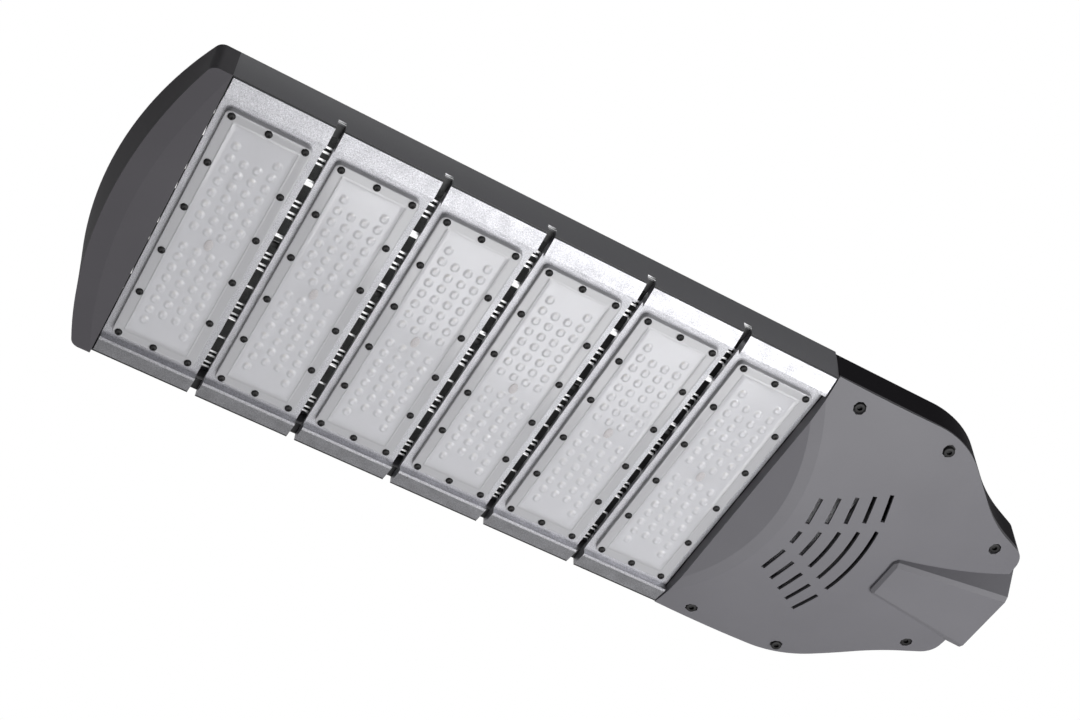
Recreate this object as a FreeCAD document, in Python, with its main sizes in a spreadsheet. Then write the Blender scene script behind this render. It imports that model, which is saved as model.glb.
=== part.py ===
import FreeCAD, Part
import Sketcher
import math
import os

# Street light head with six LED modules between two side rails, a cast nose cap and a cast
# gear housing with a slip-on socket for the pole arm. Millimetres, Z up, light leaves to -Z.
# The origin is the centre of the socket mouth on the socket's axis, and +X points out of the
# mouth, towards the pole. The head is symmetrical about the XZ plane.

doc = FreeCAD.newDocument("StreetLightHead")
sheet = doc.addObject("Spreadsheet::Sheet", "Sizes")

SIZES = {
    # Sides of a small round piece or hole, of a larger one and of the socket outside
    "small_sides": 6,
    "boss_sides": 8,
    "tube_sides": 16,
    # LED module
    "module_count": 6,
    "module_width": 89,
    "module_gap": 7.6,
    "module_end_gap": 1.4,
    "module_span": 300.6,
    "recess_span": 263,
    "recess_depth": 7,
    "end_land": 3,
    "end_slope_rise": 4,
    "base_thickness": 5,
    "fin_height": 32,
    "fin_thickness": 2,
    "fin_inner_offset": 3.8,
    "fin_outer_offset": 8.7,
    "fin_bundle_pitch": 58.3,
    "single_fin_pitch": 60,
    # Lens plate, its seal, board and screws
    "lens_width": 76.2,
    "lens_span": 248.6,
    "lens_thickness": 5.5,
    "lens_corner_cut": 3.5,
    "lens_cavity_depth": 3.7,
    "seal_width": 2.4,
    "seal_thickness": 1.5,
    "seal_clearance": 0.3,
    "board_width": 52,
    "board_span": 224,
    "board_thickness": 1.6,
    "screw_column_offset": 32.25,
    "screw_row_pitch": 48,
    "screw_head_diameter": 6.6,
    "screw_head_height": 2,
    # Side rails
    "rail_clearance": 0.6,
    "rail_wall": 2.4,
    "rail_lean": 1.2,
    "rail_bulge_radius": 420,
    "rail_bottom_rise": 4.5,
    "rail_above_base": 33.7,
    "rail_shelf_width": 12,
    "rail_shelf_thickness": 3,
    "rail_lip_width": 9,
    "rail_notch_height": 11,
    "tongue_screw_reach": 14.4,
    # Nose cap
    "cap_side_length": 17,
    "cap_nose_low": 27,
    "cap_nose_high": 37,
    "cap_underside_rise": 1.3,
    "cap_corner_radius": 9,
    "cap_crown_drop": 4,
    "cap_ramp_length": 26,
    "upper_bevel": 3,
    "cast_wall": 3,
    "tongue_length": 24,
    "tongue_width": 11,
    "tongue_height": 8,
    "fit_gap": 0.3,
    "cut_margin": 1,
    "tool_overhang": 46,
    "shelf_screw_head_radius": 3.6,
    "shelf_screw_head_height": 2.6,
    # Gear housing and its cover
    "housing_length": 263.6,
    "housing_shoulder_length": 139,
    "housing_waist_x": 212.6,
    "housing_waist_half_width": 91.2,
    "housing_tail_angle": 21.8,
    "shoulder_radius": 90,
    "waist_radius": 150,
    "tail_radius": 18,
    "roof_rise": 62,
    "roof_cross_radius": 843,
    "roof_level_length": 110,
    "roof_fall_angle": 3.4,
    "roof_edge_cut": 9,
    "split_rise": 7,
    "crown_drop": 22.1,
    "crown_offset": 54.6,
    "crown_cross_radius": 472,
    "crown_long_radius": 1087,
    "crown_strips": 4,
    "crown_first_angle": 1.1,
    "crown_angle_step": 3.5,
    "ramp_drop": 5.7,
    "ramp_angle": 27.3,
    # Louvres in the cover
    "louvre_rows": 5,
    "louvre_width": 4,
    "louvre_arc_radius": 222,
    "louvre_first_offset": 54.9,
    "louvre_pitch": 16.2,
    "louvre_middle_half": 7.7,
    "louvre_middle_growth": 8.2,
    "louvre_bridge": 10.3,
    "louvre_outer_length": 29.5,
    # Tunnel over the pole socket
    "tunnel_length": 116,
    "tunnel_front_half_width": 20.5,
    "tunnel_rear_half_width": 35.2,
    "tunnel_front_drop": 23.9,
    "tunnel_rear_drop": 20.6,
    "tunnel_front_flare": 8,
    "tunnel_rear_flare": 18.5,
    "tunnel_edge_cut": 3.2,
    "tunnel_wall": 2.7,
    "crest_cut": 6,
    # Pole socket
    "axis_drop": 17,
    "mouth_reach": 3,
    "socket_radius": 30.5,
    "socket_wall": 4,
    "socket_depth": 97,
    "socket_end_wall": 4,
    "cable_hole_radius": 8,
    # Cover screws
    "cover_screw_side_offset": 137.3,
    "cover_screw_front_offset": 31,
    "cover_screw_middle_offset": 127.5,
    "cover_screw_rear_offset": 230.6,
    "cover_screw_rear_side": 68.6,
    "cover_screw_head_radius": 5,
    "cover_screw_head_height": 5,
    "cover_screw_radius": 2.5,
    "cover_screw_length": 16,
    "counterbore_radius": 6.2,
    "cover_flange": 4,
    "boss_radius": 8,
    "screw_hole_clearance": 0.3,
    # Gear inside the housing
    "tray_length": 152,
    "tray_width": 244,
    "tray_thickness": 2,
    "tray_front_gap": 6,
    "tray_rise": 44,
    "driver_length": 196,
    "driver_width": 84,
    "driver_height": 38,
    "arrester_length": 62,
    "arrester_width": 40,
    "arrester_height": 30,
    "terminal_length": 64,
    "terminal_width": 24,
    "terminal_height": 20,
    "gear_gap": 6,
    "gear_row_gap": 16,
    "gear_side_offset": 52,
    "gear_bevel": 3,
    "driver_edge_cut": 5,
    "driver_foot_reach": 10,
    "driver_screw_offset": 28,
    "driver_foot_thickness": 2.5,
    "tray_screw_inset": 7,
    "tray_post_radius": 4.5,
    "gland_nut_radius": 11,
    "gland_nut_length": 16,
    "gland_bore_radius": 5,
    "clamp_first_depth": 28,
    "clamp_pitch": 44,
    "clamp_boss_radius": 8,
    "clamp_boss_height": 6,
    "clamp_bolt_radius": 4,
    "clamp_head_radius": 6.5,
    "clamp_head_height": 5.5,
    "clamp_bolt_retreat": 0.5,
    # LED lead
    "cable_radius": 3,
    "cable_clearance": 0.2,
    "cable_side_offset": 19.4,
    "cable_rise": 4.5,
    "outlet_length": 16,
    "outlet_width": 13,
    "outlet_height": 9,
    "grommet_radius": 6,
    "grommet_flange": 2,
    "cable_end": 2,
}

for row, (alias, value) in enumerate(SIZES.items(), start=1):
    sheet.set("A%d" % row, str(value))
    sheet.setAlias("A%d" % row, alias)
doc.recompute()


def number(expression):
    """Value of an expression on the sheet."""
    return float(sheet.evalExpression(expression))


def total(*terms):
    """Sum of expressions as one bracketed expression."""
    return "(" + " + ".join("(%s)" % term for term in terms) + ")"


def half(expression):
    return "((%s) / 2)" % expression


def minus(expression):
    return "(-(%s))" % expression


# Places that several pieces share, as expressions on the sheet
PITCH = total("Sizes.module_width", "Sizes.module_gap")
COUNT = int(SIZES["module_count"])
RAIL_LENGTH = total("%d * Sizes.module_width" % COUNT, "%d * Sizes.module_gap" % (COUNT - 1),
                    "2 * Sizes.module_end_gap")
HOUSING_REAR = "(-Sizes.mouth_reach)"
HOUSING_FRONT = total(HOUSING_REAR, "-Sizes.housing_length")
CAP_FACE = total(HOUSING_FRONT, minus(RAIL_LENGTH))
FIELD_CENTRE = total(HOUSING_FRONT, minus(half(RAIL_LENGTH)))

MODULE_FACE = "(-Sizes.axis_drop)"
SINK_FLOOR = total(MODULE_FACE, "Sizes.recess_depth")
BASE_TOP = total(SINK_FLOOR, "Sizes.base_thickness")
RAIL_TOP = total(BASE_TOP, "Sizes.rail_above_base")
SHELF_TOP = total(BASE_TOP, "Sizes.rail_shelf_thickness")
SPLIT = total(MODULE_FACE, "Sizes.split_rise")
LENS_FACE = total(SINK_FLOOR, "-Sizes.lens_thickness")

HALF_SPAN = half("Sizes.module_span")
RAIL_INNER = total(HALF_SPAN, "Sizes.rail_clearance")
HALF_WIDTH = total(RAIL_INNER, "Sizes.rail_wall")
SHELF_MIDDLE = total(RAIL_INNER, minus(half("Sizes.rail_shelf_width")))
TONGUE_Y = total(RAIL_INNER, minus(half("Sizes.tongue_width")), "-Sizes.fit_gap")
TONGUE_TOP = total(SHELF_TOP, "Sizes.tongue_height")


def make_body(name, label=None):
    body = doc.addObject("PartDesign::Body", name)
    body.Label = label or name
    return body


def origin_plane(body, role):
    return [item for item in body.Origin.OriginFeatures if item.Role == role][0]


def profile(body, name, plane, points, offset="0", arcs=None):
    """Closed sketch through points given as pairs of expressions. Each coordinate is a
    constraint bound to its expression. arcs maps the number of a side to a pair: the
    expression of its radius, and +1 or -1 for the side on which it bulges, +1 to the left
    of the direction of travel."""
    arcs = arcs or {}
    sketch = body.newObject("Sketcher::SketchObject", name)
    sketch.AttachmentSupport = (origin_plane(body, plane), [""])
    sketch.MapMode = "FlatFace"
    sketch.setExpression("AttachmentOffset.Base.z", offset)
    corners = [FreeCAD.Vector(number(x), number(y), 0) for x, y in points]
    count = len(corners)
    sides = []
    for side in range(count):
        start = corners[side]
        end = corners[(side + 1) % count]
        if side not in arcs:
            sides.append(Part.LineSegment(start, end))
            continue
        radius = number(arcs[side][0])
        chord = end - start
        left = FreeCAD.Vector(-chord.y, chord.x, 0).normalize() * arcs[side][1]
        rise = radius - math.sqrt(radius ** 2 - (chord.Length / 2) ** 2)
        sides.append(Part.Arc(start, start + chord * 0.5 + left * rise, end))
    sketch.addGeometry(sides)
    # An arc runs anticlockwise, so its first point is the side's start only where it bulges right
    starts = [2 if side in arcs and arcs[side][1] > 0 else 1 for side in range(count)]
    ends = [3 - start for start in starts]
    rules = []
    for side in range(count):
        follower = (side + 1) % count
        rules.append(Sketcher.Constraint("Coincident", side, ends[side], follower, starts[follower]))
    bound = []
    for side, (x, y) in enumerate(points):
        bound.append((len(rules), x))
        rules.append(Sketcher.Constraint("DistanceX", side, starts[side], corners[side].x))
        bound.append((len(rules), y))
        rules.append(Sketcher.Constraint("DistanceY", side, starts[side], corners[side].y))
    for side, (radius, _) in arcs.items():
        bound.append((len(rules), radius))
        rules.append(Sketcher.Constraint("Radius", side, number(radius)))
    sketch.addConstraint(rules)
    for rule, expression in bound:
        sketch.setExpression("Constraints[%d]" % rule, expression)
    return sketch


def rectangle(body, name, plane, low, high, offset="0"):
    """Rectangle between two corners, each a pair of expressions."""
    points = [(low[0], low[1]), (high[0], low[1]), (high[0], high[1]), (low[0], high[1])]
    return profile(body, name, plane, points, offset)


def pad(body, name, sketch, length, both_ways=False, backwards=False):
    feature = body.newObject("PartDesign::Pad", name)
    feature.Profile = sketch
    feature.setExpression("Length", length)
    feature.SideType = "Symmetric" if both_ways else "One side"
    feature.Reversed = backwards
    return feature


def pocket(body, name, sketch, length, both_ways=False, backwards=False):
    feature = body.newObject("PartDesign::Pocket", name)
    feature.Profile = sketch
    feature.setExpression("Length", length)
    feature.SideType = "Symmetric" if both_ways else "One side"
    feature.Reversed = backwards
    return feature


def repeat(body, name, feature, axis, pitch, occurrences):
    """Pattern of a feature along one of the body's own axes, with a pitch between copies."""
    pattern = body.newObject("PartDesign::LinearPattern", name)
    pattern.Originals = [feature]
    pattern.Direction = (origin_plane(body, axis), [""])
    pattern.setExpression("Length", "(%s) * %d" % (pitch, occurrences - 1))
    pattern.Occurrences = occurrences
    body.Tip = pattern
    return pattern


def round_edges(body, name, base, chosen, radius, kind="Fillet"):
    """Fillet or chamfer on the edges of a feature for which chosen(edge) is true."""
    doc.recompute()
    names = ["Edge%d" % (place + 1) for place, edge in enumerate(base.Shape.Edges) if chosen(edge)]
    feature = body.newObject("PartDesign::%s" % kind, name)
    feature.Base = (base, names)
    feature.setExpression("Radius" if kind == "Fillet" else "Size", radius)
    body.Tip = feature
    return feature


def upright_at(places):
    """Test for upright edges whose plan position is one of the places."""
    spots = [(number(x), number(y)) for x, y in places]

    def chosen(edge):
        low, high = edge.Vertexes[0].Point, edge.Vertexes[-1].Point
        if math.hypot(low.x - high.x, low.y - high.y) > 1e-3 or abs(low.z - high.z) < 1e-3:
            return False
        return any(math.hypot(low.x - x, low.y - y) < 1e-3 for x, y in spots)

    return chosen


def place(item, x="0", y="0", z="0"):
    item.setExpression("Placement.Base.x", x)
    item.setExpression("Placement.Base.y", y)
    item.setExpression("Placement.Base.z", z)


TURNS = {
    "z": FreeCAD.Rotation(),
    "x": FreeCAD.Rotation(FreeCAD.Vector(0, 1, 0), 90),
    "y": FreeCAD.Rotation(FreeCAD.Vector(1, 0, 0), -90),
    "-y": FreeCAD.Rotation(FreeCAD.Vector(1, 0, 0), 90),
}


def cylinder(name, radius, length, x="0", y="0", z="0", axis="z"):
    """Cylinder that starts at a place and runs along +X, +Y, -Y or +Z."""
    item = doc.addObject("Part::Cylinder", name)
    item.setExpression("Radius", radius)
    item.setExpression("Height", length)
    item.Placement = FreeCAD.Placement(FreeCAD.Vector(), TURNS[axis])
    place(item, x, y, z)
    return item


def prism(name, radius, length, x="0", y="0", z="0", axis="z", sides="Sizes.small_sides"):
    """Prism that stands for a small round piece or hole, its radius measured to the corners."""
    item = doc.addObject("Part::Prism", name)
    item.setExpression("Polygon", sides)
    item.setExpression("Circumradius", radius)
    item.setExpression("Height", length)
    item.Placement = FreeCAD.Placement(FreeCAD.Vector(), TURNS[axis])
    place(item, x, y, z)
    return item


def block(name, length, width, height, x="0", y="0", z="0"):
    """Block whose lowest corner is at the given place."""
    item = doc.addObject("Part::Box", name)
    item.setExpression("Length", length)
    item.setExpression("Width", width)
    item.setExpression("Height", height)
    place(item, x, y, z)
    return item


def fuse(name, items, label=None):
    item = doc.addObject("Part::MultiFuse", name)
    item.Shapes = items
    item.Label = label or name
    return item


def cut(name, base, tool, label=None):
    item = doc.addObject("Part::Cut", name)
    item.Base = base
    item.Tool = tool
    item.Label = label or name
    return item


def common(name, base, tool, label=None):
    item = doc.addObject("Part::Common", name)
    item.Base = base
    item.Tool = tool
    item.Label = label or name
    return item


def group(name, items, label=None):
    item = doc.addObject("Part::Compound", name)
    item.Links = items
    item.Label = label or name
    return item


sub_parts = []


def keep(item):
    """Counts an object as a finished sub-part, which its Label names."""
    sub_parts.append(item)
    return item


def module_x(number_from_nose):
    return total(FIELD_CENTRE, "(%g) * %s" % (number_from_nose - (COUNT + 1) / 2, PITCH))


def make_heat_sink(number_from_nose):
    """Extruded heat sink, cut to the module's width: end blocks, recess and fins along X."""
    body = make_body("module_%d_heat_sink" % number_from_nose)
    recess = half("Sizes.recess_span")
    land = total(recess, "Sizes.end_land")
    slope = total(MODULE_FACE, "Sizes.end_slope_rise")
    right_side = [(HALF_SPAN, BASE_TOP), (HALF_SPAN, slope), (land, MODULE_FACE),
                  (recess, MODULE_FACE), (recess, SINK_FLOOR)]
    left_side = [(minus(y), z) for y, z in reversed(right_side)]
    section = profile(body, "SinkSection", "YZ_Plane", right_side + left_side)
    pad(body, "SinkBase", section, "Sizes.module_width", both_ways=True)
    fin_top = total(BASE_TOP, "Sizes.fin_height")
    first = "(-2 * Sizes.fin_bundle_pitch)"
    bundle = []
    for place_in_bundle, offset in enumerate(("-Sizes.fin_outer_offset", "-Sizes.fin_inner_offset",
                                              "Sizes.fin_inner_offset", "Sizes.fin_outer_offset")):
        low = total(first, offset, minus(half("Sizes.fin_thickness")))
        fin = rectangle(body, "FinSection%d" % place_in_bundle, "YZ_Plane", (low, BASE_TOP),
                        (total(low, "Sizes.fin_thickness"), fin_top))
        bundle.append(pad(body, "Fin%d" % place_in_bundle, fin, "Sizes.module_width", both_ways=True))
    pattern = repeat(body, "FinBundles", bundle[0], "Y_Axis", "Sizes.fin_bundle_pitch", 5)
    pattern.Originals = bundle
    low = total("-1.5 * Sizes.single_fin_pitch", minus(half("Sizes.fin_thickness")))
    fin = rectangle(body, "SingleFinSection", "YZ_Plane", (low, BASE_TOP),
                    (total(low, "Sizes.fin_thickness"), fin_top))
    single = pad(body, "SingleFin", fin, "Sizes.module_width", both_ways=True)
    repeat(body, "SingleFins", single, "Y_Axis", "Sizes.single_fin_pitch", 4)
    place(body, module_x(number_from_nose))
    return keep(body)


def make_board(number_from_nose):
    """Metal-core board that carries the LEDs, flat on the floor of the recess."""
    body = make_body("module_%d_led_board" % number_from_nose)
    corner = (half("Sizes.board_width"), half("Sizes.board_span"))
    outline = rectangle(body, "BoardOutline", "XY_Plane", (minus(corner[0]), minus(corner[1])),
                        corner, offset=SINK_FLOOR)
    pad(body, "Board", outline, "Sizes.board_thickness", backwards=True)
    place(body, module_x(number_from_nose))
    return keep(body)


def ring_corner(margin):
    """Half sizes of a rectangle round the board, out by its clearance and a margin."""
    return (total(half("Sizes.board_width"), "Sizes.seal_clearance", margin),
            total(half("Sizes.board_span"), "Sizes.seal_clearance", margin))


def make_seal(number_from_nose):
    """Rubber seal round the board, in a step of the lens plate."""
    body = make_body("module_%d_lens_seal" % number_from_nose)
    outer = ring_corner("Sizes.seal_width")
    inner = ring_corner("0")
    ring = rectangle(body, "SealOutline", "XY_Plane", (minus(outer[0]), minus(outer[1])), outer,
                     offset=SINK_FLOOR)
    pad(body, "SealPad", ring, "Sizes.seal_thickness", backwards=True)
    opening = rectangle(body, "SealOpening", "XY_Plane", (minus(inner[0]), minus(inner[1])), inner,
                        offset=SINK_FLOOR)
    pocket(body, "SealPocket", opening, "Sizes.seal_thickness * 2", both_ways=True)
    place(body, module_x(number_from_nose))
    return keep(body)


def make_lens_plate(number_from_nose):
    """Clear lens plate with cut corners, hollow over the board and stepped for the seal."""
    body = make_body("module_%d_lens_plate" % number_from_nose)
    corner = (half("Sizes.lens_width"), half("Sizes.lens_span"))
    outline = rectangle(body, "LensOutline", "XY_Plane", (minus(corner[0]), minus(corner[1])),
                        corner, offset=SINK_FLOOR)
    plate = pad(body, "LensPad", outline, "Sizes.lens_thickness", backwards=True)
    corners = [(x, y) for x in (corner[0], minus(corner[0])) for y in (corner[1], minus(corner[1]))]
    round_edges(body, "LensCorners", plate, upright_at(corners), "Sizes.lens_corner_cut",
                kind="Chamfer")
    step = ring_corner("Sizes.seal_width + Sizes.seal_clearance / 2")
    seal_step = rectangle(body, "SealStep", "XY_Plane", (minus(step[0]), minus(step[1])), step,
                          offset=SINK_FLOOR)
    pocket(body, "SealStepPocket", seal_step, "Sizes.seal_thickness")
    inner = ring_corner("0")
    cavity = rectangle(body, "Cavity", "XY_Plane", (minus(inner[0]), minus(inner[1])), inner,
                       offset=SINK_FLOOR)
    pocket(body, "CavityPocket", cavity, "Sizes.lens_cavity_depth")
    place(body, module_x(number_from_nose))
    return keep(body)


def make_lens_screws(number_from_nose):
    """Fourteen round screw heads on the lens plate: two columns of six and two on the centre line."""
    column = "Sizes.screw_column_offset"
    last_row = "(2.5 * Sizes.screw_row_pitch)"
    spots = [(side, "(%g * Sizes.screw_row_pitch)" % (row - 2.5))
             for side in (minus(column), column) for row in range(6)]
    spots += [("0", minus(last_row)), ("0", last_row)]
    heads = []
    for spot, (x, y) in enumerate(spots, start=1):
        heads.append(prism("Module%dScrew%d" % (number_from_nose, spot),
                           "Sizes.screw_head_diameter / 2", "Sizes.screw_head_height", x, y,
                           total(LENS_FACE, "-Sizes.screw_head_height")))
    screws = group("module_%d_lens_screws" % number_from_nose, heads)
    place(screws, module_x(number_from_nose))
    return keep(screws)


for module in range(1, COUNT + 1):
    make_heat_sink(module)
    make_board(module)
    make_seal(module)
    make_lens_plate(module)
    make_lens_screws(module)


def make_rail(label, side):
    """Extruded side rail with a bulged outer face, a shelf that the modules hang from, a top
    lip, and a notch in its lower edge at each gap between modules. side is -1 or +1."""
    body = make_body(label)
    bottom = total(MODULE_FACE, "Sizes.rail_bottom_rise")
    low_outer = total(HALF_WIDTH, "-Sizes.rail_lean")
    shelf_edge = total(RAIL_INNER, "-Sizes.rail_shelf_width")
    lip_edge = total(RAIL_INNER, "-Sizes.rail_lip_width")
    lip_bottom = total(RAIL_TOP, "-Sizes.rail_wall")
    points = [(low_outer, bottom), (HALF_WIDTH, total(RAIL_TOP, "-Sizes.upper_bevel")),
              (total(HALF_WIDTH, "-Sizes.upper_bevel"), RAIL_TOP), (lip_edge, RAIL_TOP),
              (lip_edge, lip_bottom), (RAIL_INNER, lip_bottom), (RAIL_INNER, SHELF_TOP),
              (shelf_edge, SHELF_TOP), (shelf_edge, BASE_TOP), (RAIL_INNER, BASE_TOP),
              (RAIL_INNER, bottom)]
    bulge = -1
    if side < 0:
        points = [(minus(y), z) for y, z in points]
        bulge = 1
    section = profile(body, "RailSection", "YZ_Plane", points,
                      arcs={0: ("Sizes.rail_bulge_radius", bulge)})
    pad(body, "RailPad", section, RAIL_LENGTH, both_ways=True)
    first = "(%g * %s)" % (1 - COUNT / 2, PITCH)
    notch = rectangle(body, "NotchSection", "XZ_Plane",
                      (total(first, minus(half("Sizes.module_gap"))),
                       total(bottom, "-Sizes.cut_margin")),
                      (total(first, half("Sizes.module_gap")), total(bottom, "Sizes.rail_notch_height")))
    reach = total(HALF_WIDTH, "Sizes.tool_overhang")
    notch_cut = pocket(body, "Notch", notch, reach, backwards=side > 0)
    repeat(body, "Notches", notch_cut, "X_Axis", PITCH, COUNT - 1)
    place(body, FIELD_CENTRE)
    return keep(body)


make_rail("side_rail_left", -1)
make_rail("side_rail_right", 1)


def cap_outline(body, name, rear, half_width, apex, bow, corner_radius, level, rounded):
    """Plan of the nose cap at one level: straight sides, rounded or cut corners and a bowed
    front. bow is how far the apex stands ahead of the chord between the unrounded corners."""
    radius = "(((%s)^2 + (%s)^2) / (2 * (%s)))" % (half_width, bow, bow)
    centre = total(apex, radius)
    reach = total(radius, minus(corner_radius))
    side_end = (total(centre, "-sqrt(%s^2 - (%s - %s)^2)" % (reach, half_width, corner_radius)),
                half_width)
    front_end = (total(centre, "(%s - %s) * %s / %s" % (side_end[0], centre, radius, reach)),
                 "((%s - %s) * %s / %s)" % (half_width, corner_radius, radius, reach))
    points = [(rear, minus(half_width)), (rear, half_width), side_end, front_end,
              (front_end[0], minus(front_end[1])), (side_end[0], minus(half_width))]
    arcs = {3: (radius, -1)}
    if rounded:
        arcs = {2: (corner_radius, -1), 3: (radius, -1), 4: (corner_radius, -1)}
    return profile(body, name, "XY_Plane", points, offset=level, arcs=arcs)


def cap_loft(name, levels, rear, rounded):
    """Loft of the nose cap's form from its rear plane forwards, through levels given as
    (Z, nose, inset), with rounded or cut corners."""
    body = make_body(name)
    plans = []
    for place_in_loft, (z, nose, inset) in enumerate(levels):
        apex = total(CAP_FACE, "-Sizes.cap_side_length", minus(nose), inset)
        plans.append(cap_outline(body, "%sPlan%d" % (name, place_in_loft), rear,
                                 total(HALF_WIDTH, minus(inset)), apex, nose,
                                 total("Sizes.cap_corner_radius", minus(inset)), z, rounded))
    loft = body.newObject("PartDesign::AdditiveLoft", name + "Loft")
    loft.Profile = plans[0]
    loft.Sections = plans[1:]
    loft.Ruled = True
    return body


def make_tongues(name, root_low, root_high, tip_low, tip_high):
    """Pair of cast tongues that lie on the rails' shelves, each with a root in its casting.
    The four places are along X."""
    height = "Sizes.tongue_height"
    inner = total(RAIL_INNER, "-Sizes.tongue_width", "-Sizes.fit_gap")
    root_width = total(HALF_WIDTH, minus(inner), minus(half("Sizes.cast_wall")))
    blocks = []
    for side in (-1, 1):
        label = name + ("Left" if side < 0 else "Right")
        tip_y = inner if side > 0 else total(minus(inner), "-Sizes.tongue_width")
        root_y = inner if side > 0 else total(minus(inner), minus(root_width))
        blocks.append(block(label + "Root", total(root_high, minus(root_low)), root_width, height,
                            root_low, root_y, SHELF_TOP))
        blocks.append(block(label + "Tip", total(tip_high, minus(tip_low)), "Sizes.tongue_width",
                            height, tip_low, tip_y, SHELF_TOP))
    return blocks


def screw_heads(label, spots, seat):
    """Group of screw heads that sit on the level seat, at spots given as pairs of expressions."""
    return keep(group(label, [prism("%s_%d" % (label, spot), "Sizes.shelf_screw_head_radius",
                                    "Sizes.shelf_screw_head_height", x, y, seat)
                              for spot, (x, y) in enumerate(spots, start=1)]))


def on_both_sides(x, y):
    """The spot and its mirror image."""
    return [(x, minus(y)), (x, y)]


HEAD_HEIGHT = "Sizes.shelf_screw_head_height"
module_spots = []
for module in range(1, COUNT + 1):
    module_spots += on_both_sides(module_x(module), SHELF_MIDDLE)
screw_heads("module_bolts", module_spots, SHELF_TOP)
screw_heads("front_cap_screws",
            on_both_sides(total(CAP_FACE, "Sizes.tongue_screw_reach"), TONGUE_Y), TONGUE_TOP)
screw_heads("housing_tongue_screws",
            on_both_sides(total(HOUSING_FRONT, "-Sizes.tongue_screw_reach"), TONGUE_Y), TONGUE_TOP)

# Nose cap: bowed front, and an underside crowned across Y with a shallow ramp to the modules
cap_edge = total(MODULE_FACE, "Sizes.cap_underside_rise")
cap_bottom = total(cap_edge, "-Sizes.cap_crown_drop")
cap_outer = cap_loft("CapOuter", [
    (cap_bottom, "Sizes.cap_nose_low", "0"),
    (total(RAIL_TOP, "-Sizes.upper_bevel"), "Sizes.cap_nose_high", "0"),
    (RAIL_TOP, "Sizes.cap_nose_high", "Sizes.upper_bevel")], CAP_FACE, True)
cap_crown_radius = "((%s^2 + Sizes.cap_crown_drop^2) / (2 * Sizes.cap_crown_drop))" % HALF_WIDTH
below = total(cap_bottom, "-Sizes.cap_crown_drop")
cap_crown = profile(cap_outer, "CapCrownSection", "YZ_Plane",
                    [(minus(HALF_WIDTH), cap_edge), (HALF_WIDTH, cap_edge), (HALF_WIDTH, below),
                     (minus(HALF_WIDTH), below)], offset=CAP_FACE, arcs={0: (cap_crown_radius, -1)})
pocket(cap_outer, "CapCrown", cap_crown,
       "2 * (Sizes.cap_side_length + Sizes.cap_nose_high + Sizes.cut_margin)", both_ways=True)
ramp_rear = total(CAP_FACE, "Sizes.cut_margin")
ramp_front = total(CAP_FACE, "-Sizes.cap_ramp_length")
cap_ramp = profile(cap_outer, "CapRampSection", "XZ_Plane",
                   [(CAP_FACE, cap_edge), (ramp_front, cap_bottom), (ramp_front, below),
                    (ramp_rear, below), (ramp_rear, cap_edge)])
pocket(cap_outer, "CapRamp", cap_ramp, total(HALF_WIDTH, HALF_WIDTH, "Sizes.tool_overhang"),
       both_ways=True)
cap_hollow = cap_loft("CapHollow", [
    (total(cap_edge, "Sizes.cast_wall"), "Sizes.cap_nose_low", "Sizes.cast_wall"),
    (total(RAIL_TOP, "-Sizes.cast_wall"), "Sizes.cap_nose_high", "Sizes.cast_wall")],
    total(CAP_FACE, "Sizes.cut_margin"), False)
cap_shell = cut("CapShell", cap_outer, cap_hollow)
cap_tongues = make_tongues("CapTongue", total(CAP_FACE, minus(half("Sizes.tongue_length"))), CAP_FACE,
                           total(CAP_FACE, "-Sizes.cut_margin"), total(CAP_FACE, "Sizes.tongue_length"))
keep(fuse("front_cap", [cap_shell] + cap_tongues))


# Gear housing and cover

CABLE_Y = "(-Sizes.cable_side_offset)"
CABLE_Z = total(BASE_TOP, "Sizes.cable_rise")
OUTLINE_A_X = total(HOUSING_FRONT, "Sizes.housing_shoulder_length")
OUTLINE_C_X = total(HOUSING_FRONT, "Sizes.housing_waist_x")
WAIST = "Sizes.housing_waist_half_width"
SHOULDER_ANGLE = "atan((%s - %s) / (%s - %s))" % (HALF_WIDTH, WAIST, OUTLINE_C_X, OUTLINE_A_X)
TAIL_ANGLE = "(Sizes.housing_tail_angle * 1 deg)"


def housing_corners(inset):
    """Corners of the housing's plan on its +Y side, front to rear, moved inwards by inset."""
    lean = "((%s - %s) / 2)" % (SHOULDER_ANGLE, TAIL_ANGLE)
    front = (total(HOUSING_FRONT, inset), total(HALF_WIDTH, minus(inset)))
    shoulder = (total(OUTLINE_A_X, "-%s * tan(%s / 2)" % (inset, SHOULDER_ANGLE)), front[1])
    waist = (total(OUTLINE_C_X, "%s * (tan(%s) * cos(%s) - sin(%s))"
                   % (inset, lean, SHOULDER_ANGLE, SHOULDER_ANGLE)),
             total(WAIST, "-%s * (tan(%s) * sin(%s) + cos(%s))"
                   % (inset, lean, SHOULDER_ANGLE, SHOULDER_ANGLE)))
    rear_x = total(HOUSING_REAR, minus(inset))
    tail = (rear_x, total(waist[1], "-(%s - %s) * tan(%s)" % (rear_x, waist[0], TAIL_ANGLE)))
    return front, shoulder, waist, tail


def housing_prism(body, name, inset, low, high):
    """Upright prism on the housing's plan, with its rounded shoulders, waist and tail."""
    corners = housing_corners(inset)
    points = list(corners) + [(x, minus(y)) for x, y in reversed(corners)]
    plan = profile(body, name + "Plan", "XY_Plane", points, offset=low)
    feature = pad(body, name + "Pad", plan, total(high, minus(low)))
    radii = (total("Sizes.shoulder_radius", minus(inset)), total("Sizes.waist_radius", inset),
             total("Sizes.tail_radius", minus(inset)))
    for part, corner, radius in zip(("Shoulders", "Waists", "Tails"), corners[1:], radii):
        pair = [corner, (corner[0], minus(corner[1]))]
        feature = round_edges(body, name + part, feature, upright_at(pair), radius)
    return feature


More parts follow.
